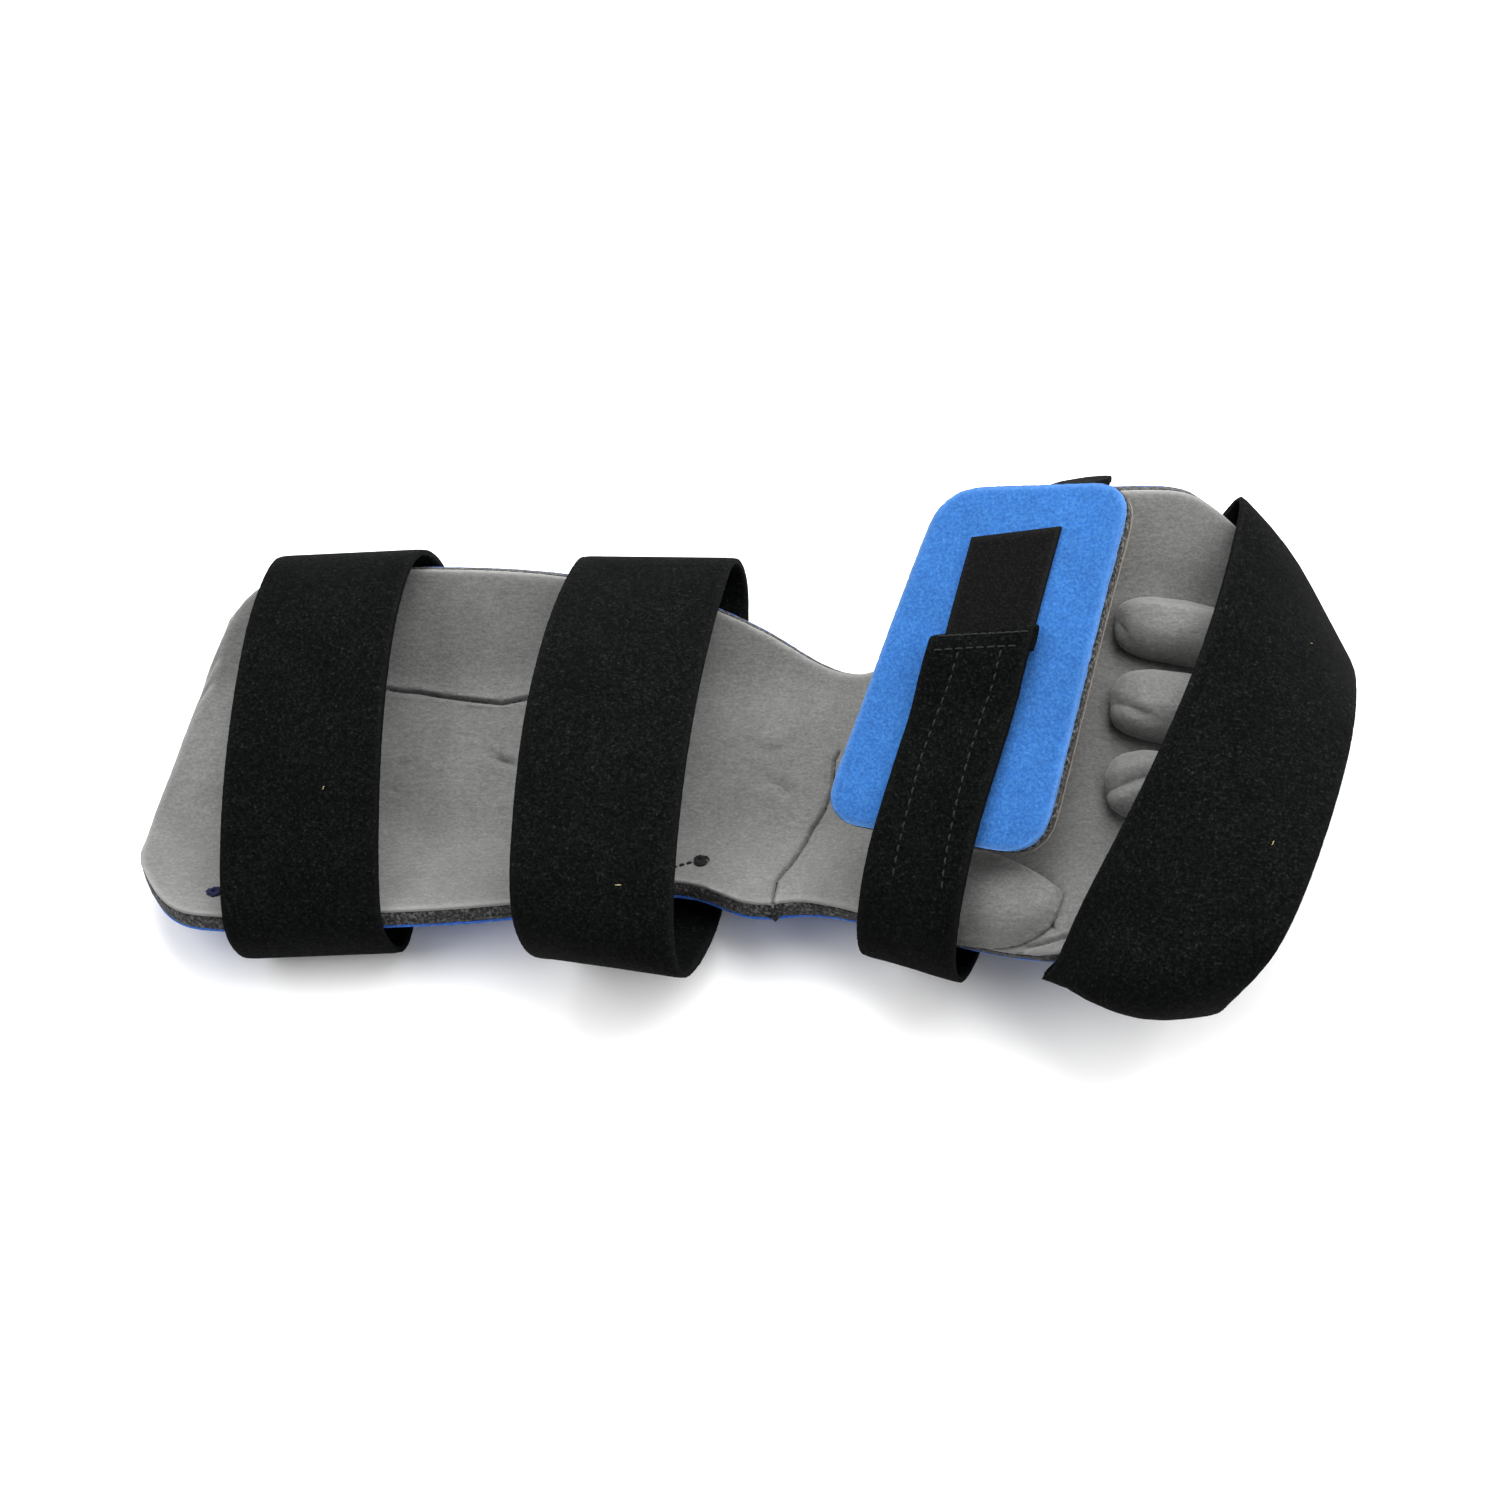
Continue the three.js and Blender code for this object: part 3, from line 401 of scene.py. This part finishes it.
def pressed(piece, creases, top_only=False):
    """Presses creases into the cloth, with a soft shoulder on each side."""
    def shift(place, normal, worn):
        if top_only and normal.z < TOP_FACING:
            return None
        x, y = place.x / MM, place.y / MM
        change = 0.0
        for line, depth, half, shoulder in creases:
            if not line_near(line, x, y, CREASE_REACH * half):
                continue
            away = away_from(line, x, y) / half
            deep = depth_at(line, half, x, y)
            change -= depth * deep
            change += shoulder * deep * math.exp(away - (away - SHOULDER_AWAY) ** 2 / 2)
        if change == 0:
            return None
        outward = normal if normal.z > 0 else -normal
        return outward * (change * MM)
    moved(piece, shift)


def finer_at(piece, creases):
    """Makes the faces along the creases small enough to show them."""
    def near(edge):
        x, y = edge.verts[0].co.x / MM, edge.verts[0].co.y / MM
        for line, _, half, _ in creases:
            reach = CREASE_FINE * half
            if line_near(line, x, y, reach) and away_from(line, x, y) < reach:
                return True
        return False
    finer(piece, 0, near)


def line_near(line, x, y, reach):
    """Tells whether a point is within reach of the line's box."""
    xs = [point[0] for point in line]
    ys = [point[1] for point in line]
    return min(xs) - reach < x < max(xs) + reach and min(ys) - reach < y < max(ys) + reach


def pulled(piece, pulls):
    """Draws parts of a cloth aside: each pull is a place, a step and a reach in mm."""
    def shift(place, normal, worn):
        step = Vector((0, 0, 0))
        for centre, way, reach in pulls:
            away = (place / MM - Vector(centre)).length / reach
            step += Vector(way) * (MM * math.exp(-away * away))
        return step
    moved(piece, shift)


def held_back(piece, start, end, share):
    """Draws back what lies beyond a line, seen from above, on its far side."""
    along = (Vector(end) - Vector(start)).normalized()
    across = Vector((-along.y, along.x))
    def shift(place, normal, worn):
        beyond = (Vector((place.x, place.y)) / MM - Vector(start)).dot(across)
        if beyond < 0:
            return None
        return across.to_3d() * (-share * beyond * MM)
    moved(piece, shift)


# Surfaces to lay things on

def surface_of(node):
    """A node's surface, for finding the nearest point on it."""
    mesh = node_mesh(node)
    tree = BVHTree.FromBMesh(mesh)
    mesh.free()
    return tree


def surface_under(piece):
    """A piece's surface, for laying threads on it."""
    return BVHTree.FromObject(piece, bpy.context.evaluated_depsgraph_get())


# Stuffed rolls

def evened(piece):
    """Gives the roll's cover even faces."""
    even = piece.modifiers.new("even", "REMESH")
    even.mode = "VOXEL"
    even.voxel_size = ROLL_VOXEL
    settled(piece)


def stuffed(piece, held, swell):
    """Lets the stuffing push the cover outwards, except where it is sewn down."""
    before = [vertex.co.copy() for vertex in piece.data.vertices]
    group = piece.vertex_groups.new(name="sewn_down")
    group.add(held, 1.0, "REPLACE")
    cloth = piece.modifiers.new("stuffing", "CLOTH")
    cloth.settings.use_pressure = True
    cloth.settings.uniform_pressure_force = ROLL_PRESSURE
    cloth.settings.vertex_group_mass = "sewn_down"
    cloth.settings.effector_weights.gravity = 0
    cloth.collision_settings.use_collision = False
    for step in range(1, STUFFING_STEPS + 1):
        bpy.context.scene.frame_set(step)
    settled(piece)
    bpy.context.scene.frame_set(1)
    for vertex, start in zip(piece.data.vertices, before):
        push = vertex.co - start
        if push.length > swell:
            vertex.co = start + push.normalized() * swell


def roll(node, name, swell, skirt, folds, lining, finish):
    """A stuffed roll, sewn down on the lining. Its skirt runs out flat into the lining."""
    piece = covered(name, node_mesh(node), finish)
    evened(piece)
    held = [
        vertex.index
        for vertex in piece.data.vertices
        if lining.find_nearest(vertex.co)[3] < SEWN_DOWN
    ]
    stuffed(piece, held, swell)
    smoothed(piece, 2)
    # Marks where painted shade darkens the roll along its folds
    mark_painted_crease_shade(piece, folds)
    pressed(piece, folds, top_only=True)
    def lumps(place, normal, worn):
        step = normal * (LUMP_HEIGHT * uneven(place, LUMP_SIZE) * max(0, normal.z))
        height = lining.find_nearest(place)[3] / SKIRT_HEIGHT
        return step + Vector((normal.x, normal.y, 0)) * (skirt * math.exp(-height * height))
    moved(piece, lumps)
    in_place(piece, node)
    return piece


# Threads

def thread(name, runs, thickness, finish):
    """Short lengths of thread, each a closed tube."""
    curve = bpy.data.curves.new(name, "CURVE")
    curve.dimensions = "3D"
    curve.bevel_depth = thickness
    curve.bevel_resolution = THREAD_ROUNDING
    curve.use_fill_caps = True
    for run in runs:
        spline = curve.splines.new("POLY")
        spline.points.add(len(run) - 1)
        for index, (point, place) in enumerate(zip(spline.points, run)):
            point.co = (*place, 1)
            end = index in (0, len(run) - 1)
            point.radius = THREAD_END if end else 1.0
    loose = shown(name + "_line", curve)
    graph = bpy.context.evaluated_depsgraph_get()
    data = bpy.data.meshes.new_from_object(loose.evaluated_get(graph))
    bpy.data.objects.remove(loose)
    data.materials.append(finish)
    piece = shown(name, data)
    for face in piece.data.polygons:
        face.use_smooth = True
    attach(piece, "root")
    return piece


def stepped(line, pitch):
    """Points at an even pitch along a line."""
    line = [Vector(point) * MM for point in line]
    points, left = [line[0].copy()], pitch
    for start, end in zip(line, line[1:]):
        length = (end - start).length
        while left <= length:
            points.append(start.lerp(end, left / length))
            left += pitch
        left -= length
    return points


def stitches_on(surface, line, length, pitch, lift):
    """Stitches laid along a line on a cloth's surface, their ends drawn into it."""
    runs = []
    points = stepped(line, pitch)
    for start, after in zip(points, points[1:]):
        way = (after - start).normalized() * length
        run = []
        for share, height in STITCH_SHAPE:
            place, normal = surface.find_nearest(start + way * share)[:2]
            run.append(place + normal * lift * height)
        runs.append(run)
    return runs


def tangle(centre, size, turns, twist):
    """A small knot: a thread wound over itself in uneven loops, with two loose ends."""
    middle = Vector(centre) * MM
    core, pulse, lumps, ends = KNOT_REACH
    long, wide, high = KNOT_STRETCH
    run = []
    count = turns * KNOT_POINTS
    for index in range(count + 1):
        share = index / count
        angle = 2 * math.pi * turns * share
        end = abs(2 * share - 1) ** KNOT_END
        lump = Vector((centre[0], twist, KNOT_LUMPS * share * turns))
        reach = core + pulse * math.cos(twist * angle) + lumps * noise.noise(lump) + ends * end
        run.append(middle + size * Vector((
            reach * math.cos(angle) * long,
            reach * math.sin(angle) * wide,
            high * math.sin(twist * angle + 1),
        )))
    return run


# Finishes

def finish_of(name):
    """A new finish, its shader and where its patterns are placed."""
    finish = bpy.data.materials.new(name)
    finish.use_nodes = True
    tree = finish.node_tree
    place = tree.nodes.new("ShaderNodeTexCoord").outputs["Object"]
    return finish, tree, tree.nodes["Principled BSDF"], place


def scaled(tree, place, size, stretch):
    """Places at which a pattern's parts come out at about that size."""
    mapping = tree.nodes.new("ShaderNodeMapping")
    mapping.inputs["Scale"].default_value = [part / size for part in stretch]
    tree.links.new(place, mapping.inputs["Vector"])
    return mapping.outputs["Vector"]


def grain(tree, place, size, stretch=(1, 1, 1), detail=3.0):
    """Cloudy noise with specks of about that size."""
    cloud = tree.nodes.new("ShaderNodeTexNoise")
    cloud.inputs["Scale"].default_value = 1.0
    cloud.inputs["Detail"].default_value = detail
    tree.links.new(scaled(tree, place, size, stretch), cloud.inputs["Vector"])
    return cloud.outputs["Fac"]


def cells(tree, place, size, stretch=(1, 1, 1)):
    """Round cells of about that size."""
    pattern = tree.nodes.new("ShaderNodeTexVoronoi")
    pattern.inputs["Scale"].default_value = 1.0
    tree.links.new(scaled(tree, place, size, stretch), pattern.inputs["Vector"])
    return pattern.outputs["Distance"]


def shades(tree, value, stops):
    """Colours along a pattern's values."""
    ramp = tree.nodes.new("ShaderNodeValToRGB")
    ramp.color_ramp.elements[0].position = stops[0][0]
    ramp.color_ramp.elements[0].color = (*stops[0][1], 1)
    ramp.color_ramp.elements[1].position = stops[-1][0]
    ramp.color_ramp.elements[1].color = (*stops[-1][1], 1)
    for position, colour in stops[1:-1]:
        ramp.color_ramp.elements.new(position).color = (*colour, 1)
    tree.links.new(value, ramp.inputs["Fac"])
    return ramp.outputs["Color"]


def mixed(tree, share, one, other, how="MIX"):
    """Two colours mixed by a share. Each may be a pattern or a plain value."""
    mix = tree.nodes.new("ShaderNodeMix")
    mix.data_type = "RGBA"
    mix.blend_type = how
    sockets = [socket for socket in mix.inputs if socket.enabled]
    for value, socket in zip((share, one, other), sockets):
        if hasattr(value, "is_output"):
            tree.links.new(value, socket)
        else:
            socket.default_value = value
    return [socket for socket in mix.outputs if socket.enabled][0]


def patchy(tree, colour, pattern, start, end, level):
    """Darkens a colour to a level below a pattern's start, and less and less up to its end."""
    patches = shades(tree, pattern, ((start, grey(level)), (end, grey(255))))
    return mixed(tree, 1.0, colour, patches, "MULTIPLY")


def marked(tree, colour, mark, share, shade):
    """Turns a colour by a share towards a shade where the piece bears a mark."""
    found = tree.nodes.new("ShaderNodeAttribute")
    found.attribute_name = mark
    part = tree.nodes.new("ShaderNodeMath")
    part.operation = "MULTIPLY"
    tree.links.new(found.outputs["Fac"], part.inputs[0])
    part.inputs[1].default_value = share
    return mixed(tree, part.outputs[0], colour, (*shade, 1))


def relief(tree, shader, layers):
    """Stacks patterns as heights: each is a value and its height in mm."""
    before = None
    for value, height in layers:
        bump = tree.nodes.new("ShaderNodeBump")
        bump.inputs["Strength"].default_value = 1.0
        bump.inputs["Distance"].default_value = height * MM
        tree.links.new(value, bump.inputs["Height"])
        if before is not None:
            tree.links.new(before, bump.inputs["Normal"])
        before = bump.outputs["Normal"]
    tree.links.new(before, shader.inputs["Normal"])


def cloth_shader(shader, roughness, sheen, sheen_roughness, sheen_colour, shine=CLOTH_SHINE):
    """The even parts of a cloth's shine."""
    shader.inputs["Roughness"].default_value = roughness
    shader.inputs["Specular IOR Level"].default_value = shine
    shader.inputs["Sheen Weight"].default_value = sheen
    shader.inputs["Sheen Roughness"].default_value = sheen_roughness
    shader.inputs["Sheen Tint"].default_value = (*sheen_colour, 1)


def grey(level):
    """The colour of a grey that shows at that level out of 255."""
    share = level / 255
    light = share / 12.92 if share < 0.04045 else ((share + 0.055) / 1.055) ** 2.4
    return (light, light, light)


def tint(red, green, blue):
    """A colour from the levels, out of 255, that it shows at."""
    return tuple(grey(level)[0] for level in (red, green, blue))


def brushed_knit():
    """The grey lining: a brushed knit with a soft, blotchy nap, and painted shade along its creases."""
    finish, tree, shader, place = finish_of("brushed_knit")
    fine = grain(tree, place, 0.8 * MM, (0.8, 1.2, 1), 3)
    rows = grain(tree, place, 1.6 * MM, (0.5, 1.3, 1), 2)
    blotches = grain(tree, place, 24 * MM, (1, 1, 1), 4)
    greys = ((0.3, tint(95, 95, 94)), (0.5, tint(104, 104, 103)), (0.7, tint(114, 114, 113)))
    colour = shades(tree, fine, greys)
    colour = patchy(tree, colour, rows, 0.35, 0.65, 240)
    colour = patchy(tree, colour, blotches, 0.35, 0.65, 234)
    colour = marked(tree, colour, "worn", 0.45, tint(140, 140, 138))
    # Painted shade: the colour darkens towards dark grey where the creases lie
    colour = marked(tree, colour, "painted_crease_shade", 0.75, grey(40))
    tree.links.new(colour, shader.inputs["Base Color"])
    cloth_shader(shader, 0.95, 0.25, 0.5, grey(235))
    relief(tree, shader, ((blotches, 1.0), (rows, 0.12), (fine, 0.1)))
    return finish


def cut_foam():
    """The dark foam at the cut rim, full of open cells."""
    finish, tree, shader, place = finish_of("cut_foam")
    pores = cells(tree, place, 1.1 * MM)
    rough = grain(tree, place, 1.0 * MM)
    colour = shades(tree, pores, ((0.1, grey(32)), (0.4, grey(52)), (0.75, grey(92))))
    colour = patchy(tree, colour, rough, 0.42, 0.65, 130)
    tree.links.new(colour, shader.inputs["Base Color"])
    cloth_shader(shader, 0.9, 0.1, 0.5, grey(200))
    relief(tree, shader, ((pores, 0.5), (rough, 0.3)))
    return finish


def loop_cloth():
    """The blue loop cloth on the shell's back."""
    finish, tree, shader, place = finish_of("loop_cloth")
    loops = grain(tree, place, 0.7 * MM, (1, 1, 1), 4)
    patches = grain(tree, place, 14 * MM)
    blues = ((0.3, tint(16, 52, 128)), (0.5, tint(34, 82, 172)), (0.72, tint(72, 124, 208)))
    colour = shades(tree, loops, blues)
    colour = patchy(tree, colour, patches, 0.3, 0.7, 215)
    colour = marked(tree, colour, "worn", 0.25, tint(60, 112, 205))
    tree.links.new(colour, shader.inputs["Base Color"])
    cloth_shader(shader, 0.95, 0.3, 0.5, tint(140, 180, 240))
    relief(tree, shader, ((patches, 0.5), (loops, 0.4)))
    return finish


def pad_plush():
    """The bright blue plush of the hand pad."""
    finish, tree, shader, place = finish_of("pad_plush")
    pile = grain(tree, place, 0.9 * MM, (1, 1, 1), 3)
    tufts = grain(tree, place, 2.6 * MM, (1, 1, 1), 3)
    patches = grain(tree, place, 16 * MM)
    blues = ((0.28, tint(28, 76, 142)), (0.5, tint(37, 89, 152)), (0.72, tint(52, 104, 163)))
    colour = shades(tree, pile, blues)
    colour = patchy(tree, colour, tufts, 0.35, 0.65, 242)
    colour = patchy(tree, colour, patches, 0.3, 0.7, 240)
    colour = marked(tree, colour, "worn", 0.35, tint(94, 134, 186))
    tree.links.new(colour, shader.inputs["Base Color"])
    cloth_shader(shader, 0.95, 0.3, 0.45, tint(170, 205, 250))
    relief(tree, shader, ((patches, 0.5), (tufts, 0.2), (pile, 0.2)))
    return finish


def pad_lining():
    """The grey-brown lining under the pad, lighter at its fuzzy edge."""
    finish, tree, shader, place = finish_of("pad_lining")
    fine = grain(tree, place, 0.6 * MM, (1, 1, 1), 4)
    patches = grain(tree, place, 12 * MM)
    colour = shades(tree, fine, ((0.3, tint(64, 58, 52)), (0.7, tint(98, 88, 76))))
    colour = patchy(tree, colour, patches, 0.3, 0.7, 215)
    colour = marked(tree, colour, "worn", 0.5, tint(112, 100, 84))
    tree.links.new(colour, shader.inputs["Base Color"])
    cloth_shader(shader, 0.95, 0.3, 0.5, grey(220))
    relief(tree, shader, ((patches, 0.4), (fine, 0.25)))
    return finish


def strap_nap():
    """The black loop cloth of the straps, with a speckled nap."""
    finish, tree, shader, place = finish_of("strap_nap")
    fibres = grain(tree, place, 0.8 * MM, (1, 1, 1), 4)
    specks = grain(tree, place, 1.5 * MM, (1, 1, 1), 2)
    patches = grain(tree, place, 18 * MM)
    blacks = ((0.35, tint(6, 8, 7)), (0.52, tint(12, 14, 13)), (0.64, tint(20, 22, 21)), (0.76, grey(42)))
    colour = shades(tree, fibres, blacks)
    colour = patchy(tree, colour, specks, 0.4, 0.62, 190)
    colour = patchy(tree, colour, patches, 0.3, 0.7, 215)
    colour = marked(tree, colour, "worn", 0.4, grey(22))
    tree.links.new(colour, shader.inputs["Base Color"])
    cloth_shader(shader, 0.95, 0, 0.5, grey(190), STRAP_SHINE)
    relief(tree, shader, ((patches, 0.5), (specks, 0.35), (fibres, 0.5)))
    return finish


def hook_patch():
    """The black hook patch: rows of small stiff hooks."""
    finish, tree, shader, place = finish_of("hook_patch")
    hooks = cells(tree, place, 0.9 * MM, (1, 1, 0.4))
    dust = grain(tree, place, 0.7 * MM, (1, 1, 1), 4)
    colour = shades(tree, hooks, ((0.1, grey(26)), (0.3, grey(16)), (0.7, grey(9))))
    colour = patchy(tree, colour, dust, 0.4, 0.75, 190)
    colour = marked(tree, colour, "worn", 0.35, grey(30))
    tree.links.new(colour, shader.inputs["Base Color"])
    shader.inputs["Roughness"].default_value = 0.85
    shader.inputs["Specular IOR Level"].default_value = PATCH_SHINE
    relief(tree, shader, ((dust, 0.15), (hooks, -0.15)))
    return finish


def spun_thread(name, dark, light):
    """Spun thread with a soft twist in its colour."""
    finish, tree, shader, place = finish_of(name)
    twist = grain(tree, place, 0.5 * MM)
    colour = shades(tree, twist, ((0.35, dark), (0.65, light)))
    tree.links.new(colour, shader.inputs["Base Color"])
    cloth_shader(shader, 0.75, 0.2, 0.5, grey(200))
    relief(tree, shader, ((twist, 0.1),))
    return finish


def pale_floor():
    """A plain pale floor with a hardly seen grain."""
    finish, tree, shader, place = finish_of("pale_floor")
    cloud = grain(tree, place, FLOOR_GRAIN)
    colour = shades(tree, cloud, ((0.3, FLOOR_DARK), (0.7, FLOOR_LIGHT)))
    tree.links.new(colour, shader.inputs["Base Color"])
    shader.inputs["Roughness"].default_value = 0.9
    shader.inputs["Specular IOR Level"].default_value = 0.1
    return finish


# The splint

def make_shell(knit, foam, blue):
    """The lining, the foam and the backing, one on the other."""
    lining = soft_copy("grey_liner", "lining_cloth", knit, CLOTH_FACE)
    core = soft_copy("foam_core", "shell_foam", foam, HIDDEN_FACE)
    back = soft_copy("blue_backing", "backing_cloth", blue, HIDDEN_FACE)
    finer_at(lining, LINING_CREASES)
    finer_at(lining, LINING_CREASES)
    grown(lining, LAYER_GROWTH, LINER_ROUNDING, LINER_RAGGED)
    grown(core, LAYER_GROWTH, 0, FOAM_RAGGED)
    grown(back, LAYER_GROWTH, LINER_ROUNDING, BACKING_RAGGED)
    # Marks where painted shade darkens the lining along its creases
    mark_painted_crease_shade(lining, LINING_CREASES)
    pressed(lining, LINING_CREASES)
    pressed(core, LINING_CREASES)


def make_rolls(knit):
    """The finger separators and the mound by the thumb."""
    lining = surface_of("grey_liner")
    names = (("finger_separator_1", "separator_far"), ("finger_separator_2", "separator_middle"),
             ("finger_separator_3", "separator_near"))
    for node, name in names:
        roll(node, name, ROLL_SWELL, 0, SEPARATOR_FOLDS[node], lining, knit)
    mound = roll("thumb_roll", "thumb_mound", MOUND_SWELL, MOUND_SKIRT, MOUND_FOLDS, lining, knit)
    held_back(mound, *MOUND_LINE, MOUND_HOLD)


def make_straps(nap):
    """The straps round the trough, the fingers and the hand."""
    made = {}
    names = (("forearm_strap_proximal", "elbow_strap"), ("forearm_strap_distal", "wrist_strap"),
             ("finger_strap", "fingers_strap"), ("hand_strap", "pad_strap"),
             ("hand_strap_far", "pad_strap_far"))
    for node, name in names:
        made[node] = soft_copy(node, name, nap, CLOTH_FACE)
        grown(made[node], 0, STRAP_ROUNDING, STRAP_RAGGED)
    pulled(made["finger_strap"], STRAP_PULLS)
    return made


def make_pad(plush, foam, lining, hooks):
    """The pad over the hand, and the hook patch on it."""
    face = soft_copy("hand_pad_face", "pad_cover", plush, CLOTH_FACE)
    core = soft_copy("hand_pad_foam", "pad_filling", foam, CLOTH_FACE)
    under = soft_copy("hand_pad_lining", "pad_underside", lining, CLOTH_FACE)
    patch = soft_copy("hook_tab", "hook_patch", hooks, CLOTH_FACE)
    grown(face, LAYER_GROWTH, PAD_ROUNDING, PAD_RAGGED)
    grown(core, LAYER_GROWTH, 0, PAD_FOAM_RAGGED)
    grown(under, LAYER_GROWTH, PAD_LINING_ROUNDING, PAD_LINING_RAGGED)
    grown(patch, 0, PATCH_ROUNDING, PATCH_RAGGED)


def make_threads(strap):
    """The sewing on the hand strap and the thread knots on the lining."""
    pale = spun_thread("strap_thread", grey(9), grey(16))
    dark = spun_thread("knot_thread", grey(3), grey(9))
    navy = spun_thread("navy_thread", tint(6, 8, 30), tint(16, 20, 64))
    surface = surface_under(strap)
    runs = []
    for line, gap in zip(ACROSS_ROWS, ACROSS_GAPS):
        runs += stitches_on(surface, line, ACROSS_LENGTH, ACROSS_LENGTH + gap, ACROSS_LIFT)
    for line in ALONG_ROWS:
        runs += stitches_on(surface, line, STITCH_LENGTH, STITCH_PITCH, STITCH_LIFT)
    thread("strap_stitches", runs, STITCH_THREAD, pale)
    lining = surface_of("grey_liner")
    tail = stitches_on(lining, DARK_TAIL, TAIL_LENGTH, TAIL_PITCH, TAIL_LIFT)
    knot = tangle(DARK_KNOT, *DARK_WINDING)
    thread("dark_knot", [knot, *tail], KNOT_THREAD, dark)
    thread("navy_knot", [tangle(NAVY_KNOT, *NAVY_WINDING)], KNOT_THREAD, navy)


def make_lint(straps):
    """Bits of lint caught in the straps' nap."""
    fluff = spun_thread("lint", tint(120, 105, 60), tint(170, 160, 120))
    runs = []
    for node, place, length, way in LINT:
        surface = surface_under(straps[node])
        start = Vector(place) * MM
        step = Vector(way).normalized() * length * MM / LINT_PARTS
        run = []
        for index in range(LINT_PARTS + 1):
            on, normal = surface.find_nearest(start + step * index)[:2]
            sway = noise.noise(start * LINT_CURL + Vector((index, 0, 0))) * LINT_SWAY
            run.append(on + normal * LINT_LIFT + Vector((sway, -sway, 0)))
        runs.append(run)
    thread("lint", runs, LINT_THREAD, fluff)


# Round the splint

def add_light(name, place, power):
    """A soft square light that faces the splint."""
    data = bpy.data.lights.new(name, "AREA")
    data.energy = power
    data.size = LIGHT_SIZE
    light = shown(name, data)
    light.location = place
    way = Vector(AIM) - Vector(place)
    light.rotation_euler = way.to_track_quat("-Z", "Y").to_euler()


def add_camera():
    """The camera, where the photograph was taken from."""
    data = bpy.data.cameras.new("view")
    data.lens = LENS
    data.sensor_width = SENSOR
    camera = shown("view", data)
    away = Vector(VIEW_FROM).normalized()
    right = (Vector((1, 0, 0)) - away.x * away).normalized()
    turn = Matrix((right, away.cross(right), away)).transposed().to_4x4()
    camera.matrix_world = Matrix.Translation(Vector(AIM) + away * VIEW_DISTANCE) @ turn
    bpy.context.scene.camera = camera


def add_floor():
    """The floor that the splint lies on."""
    mesh = bmesh.new()
    bmesh.ops.create_grid(mesh, x_segments=2, y_segments=2, size=FLOOR_SIZE)
    bmesh.ops.translate(mesh, verts=mesh.verts, vec=(0, 0, -FLOOR_DROP))
    data = bpy.data.meshes.new("floor")
    mesh.to_mesh(data)
    mesh.free()
    data.materials.append(pale_floor())
    shown("floor", data)


def add_sky():
    """Even white light from all round."""
    world = bpy.data.worlds.new("sky")
    world.use_nodes = True
    backdrop = world.node_tree.nodes["Background"]
    backdrop.inputs["Color"].default_value = (1, 1, 1, 1)
    backdrop.inputs["Strength"].default_value = SKY
    bpy.context.scene.world = world
    bpy.context.scene.view_settings.view_transform = "Standard"


add_camera()
add_sky()
add_floor()
for name, (place, power) in LIGHTS.items():
    add_light(name, place, power)

knit = brushed_knit()
foam = cut_foam()
make_shell(knit, foam, loop_cloth())
make_rolls(knit)
straps = make_straps(strap_nap())
make_pad(pad_plush(), foam, pad_lining(), hook_patch())
make_threads(straps["hand_strap"])
make_lint(straps)
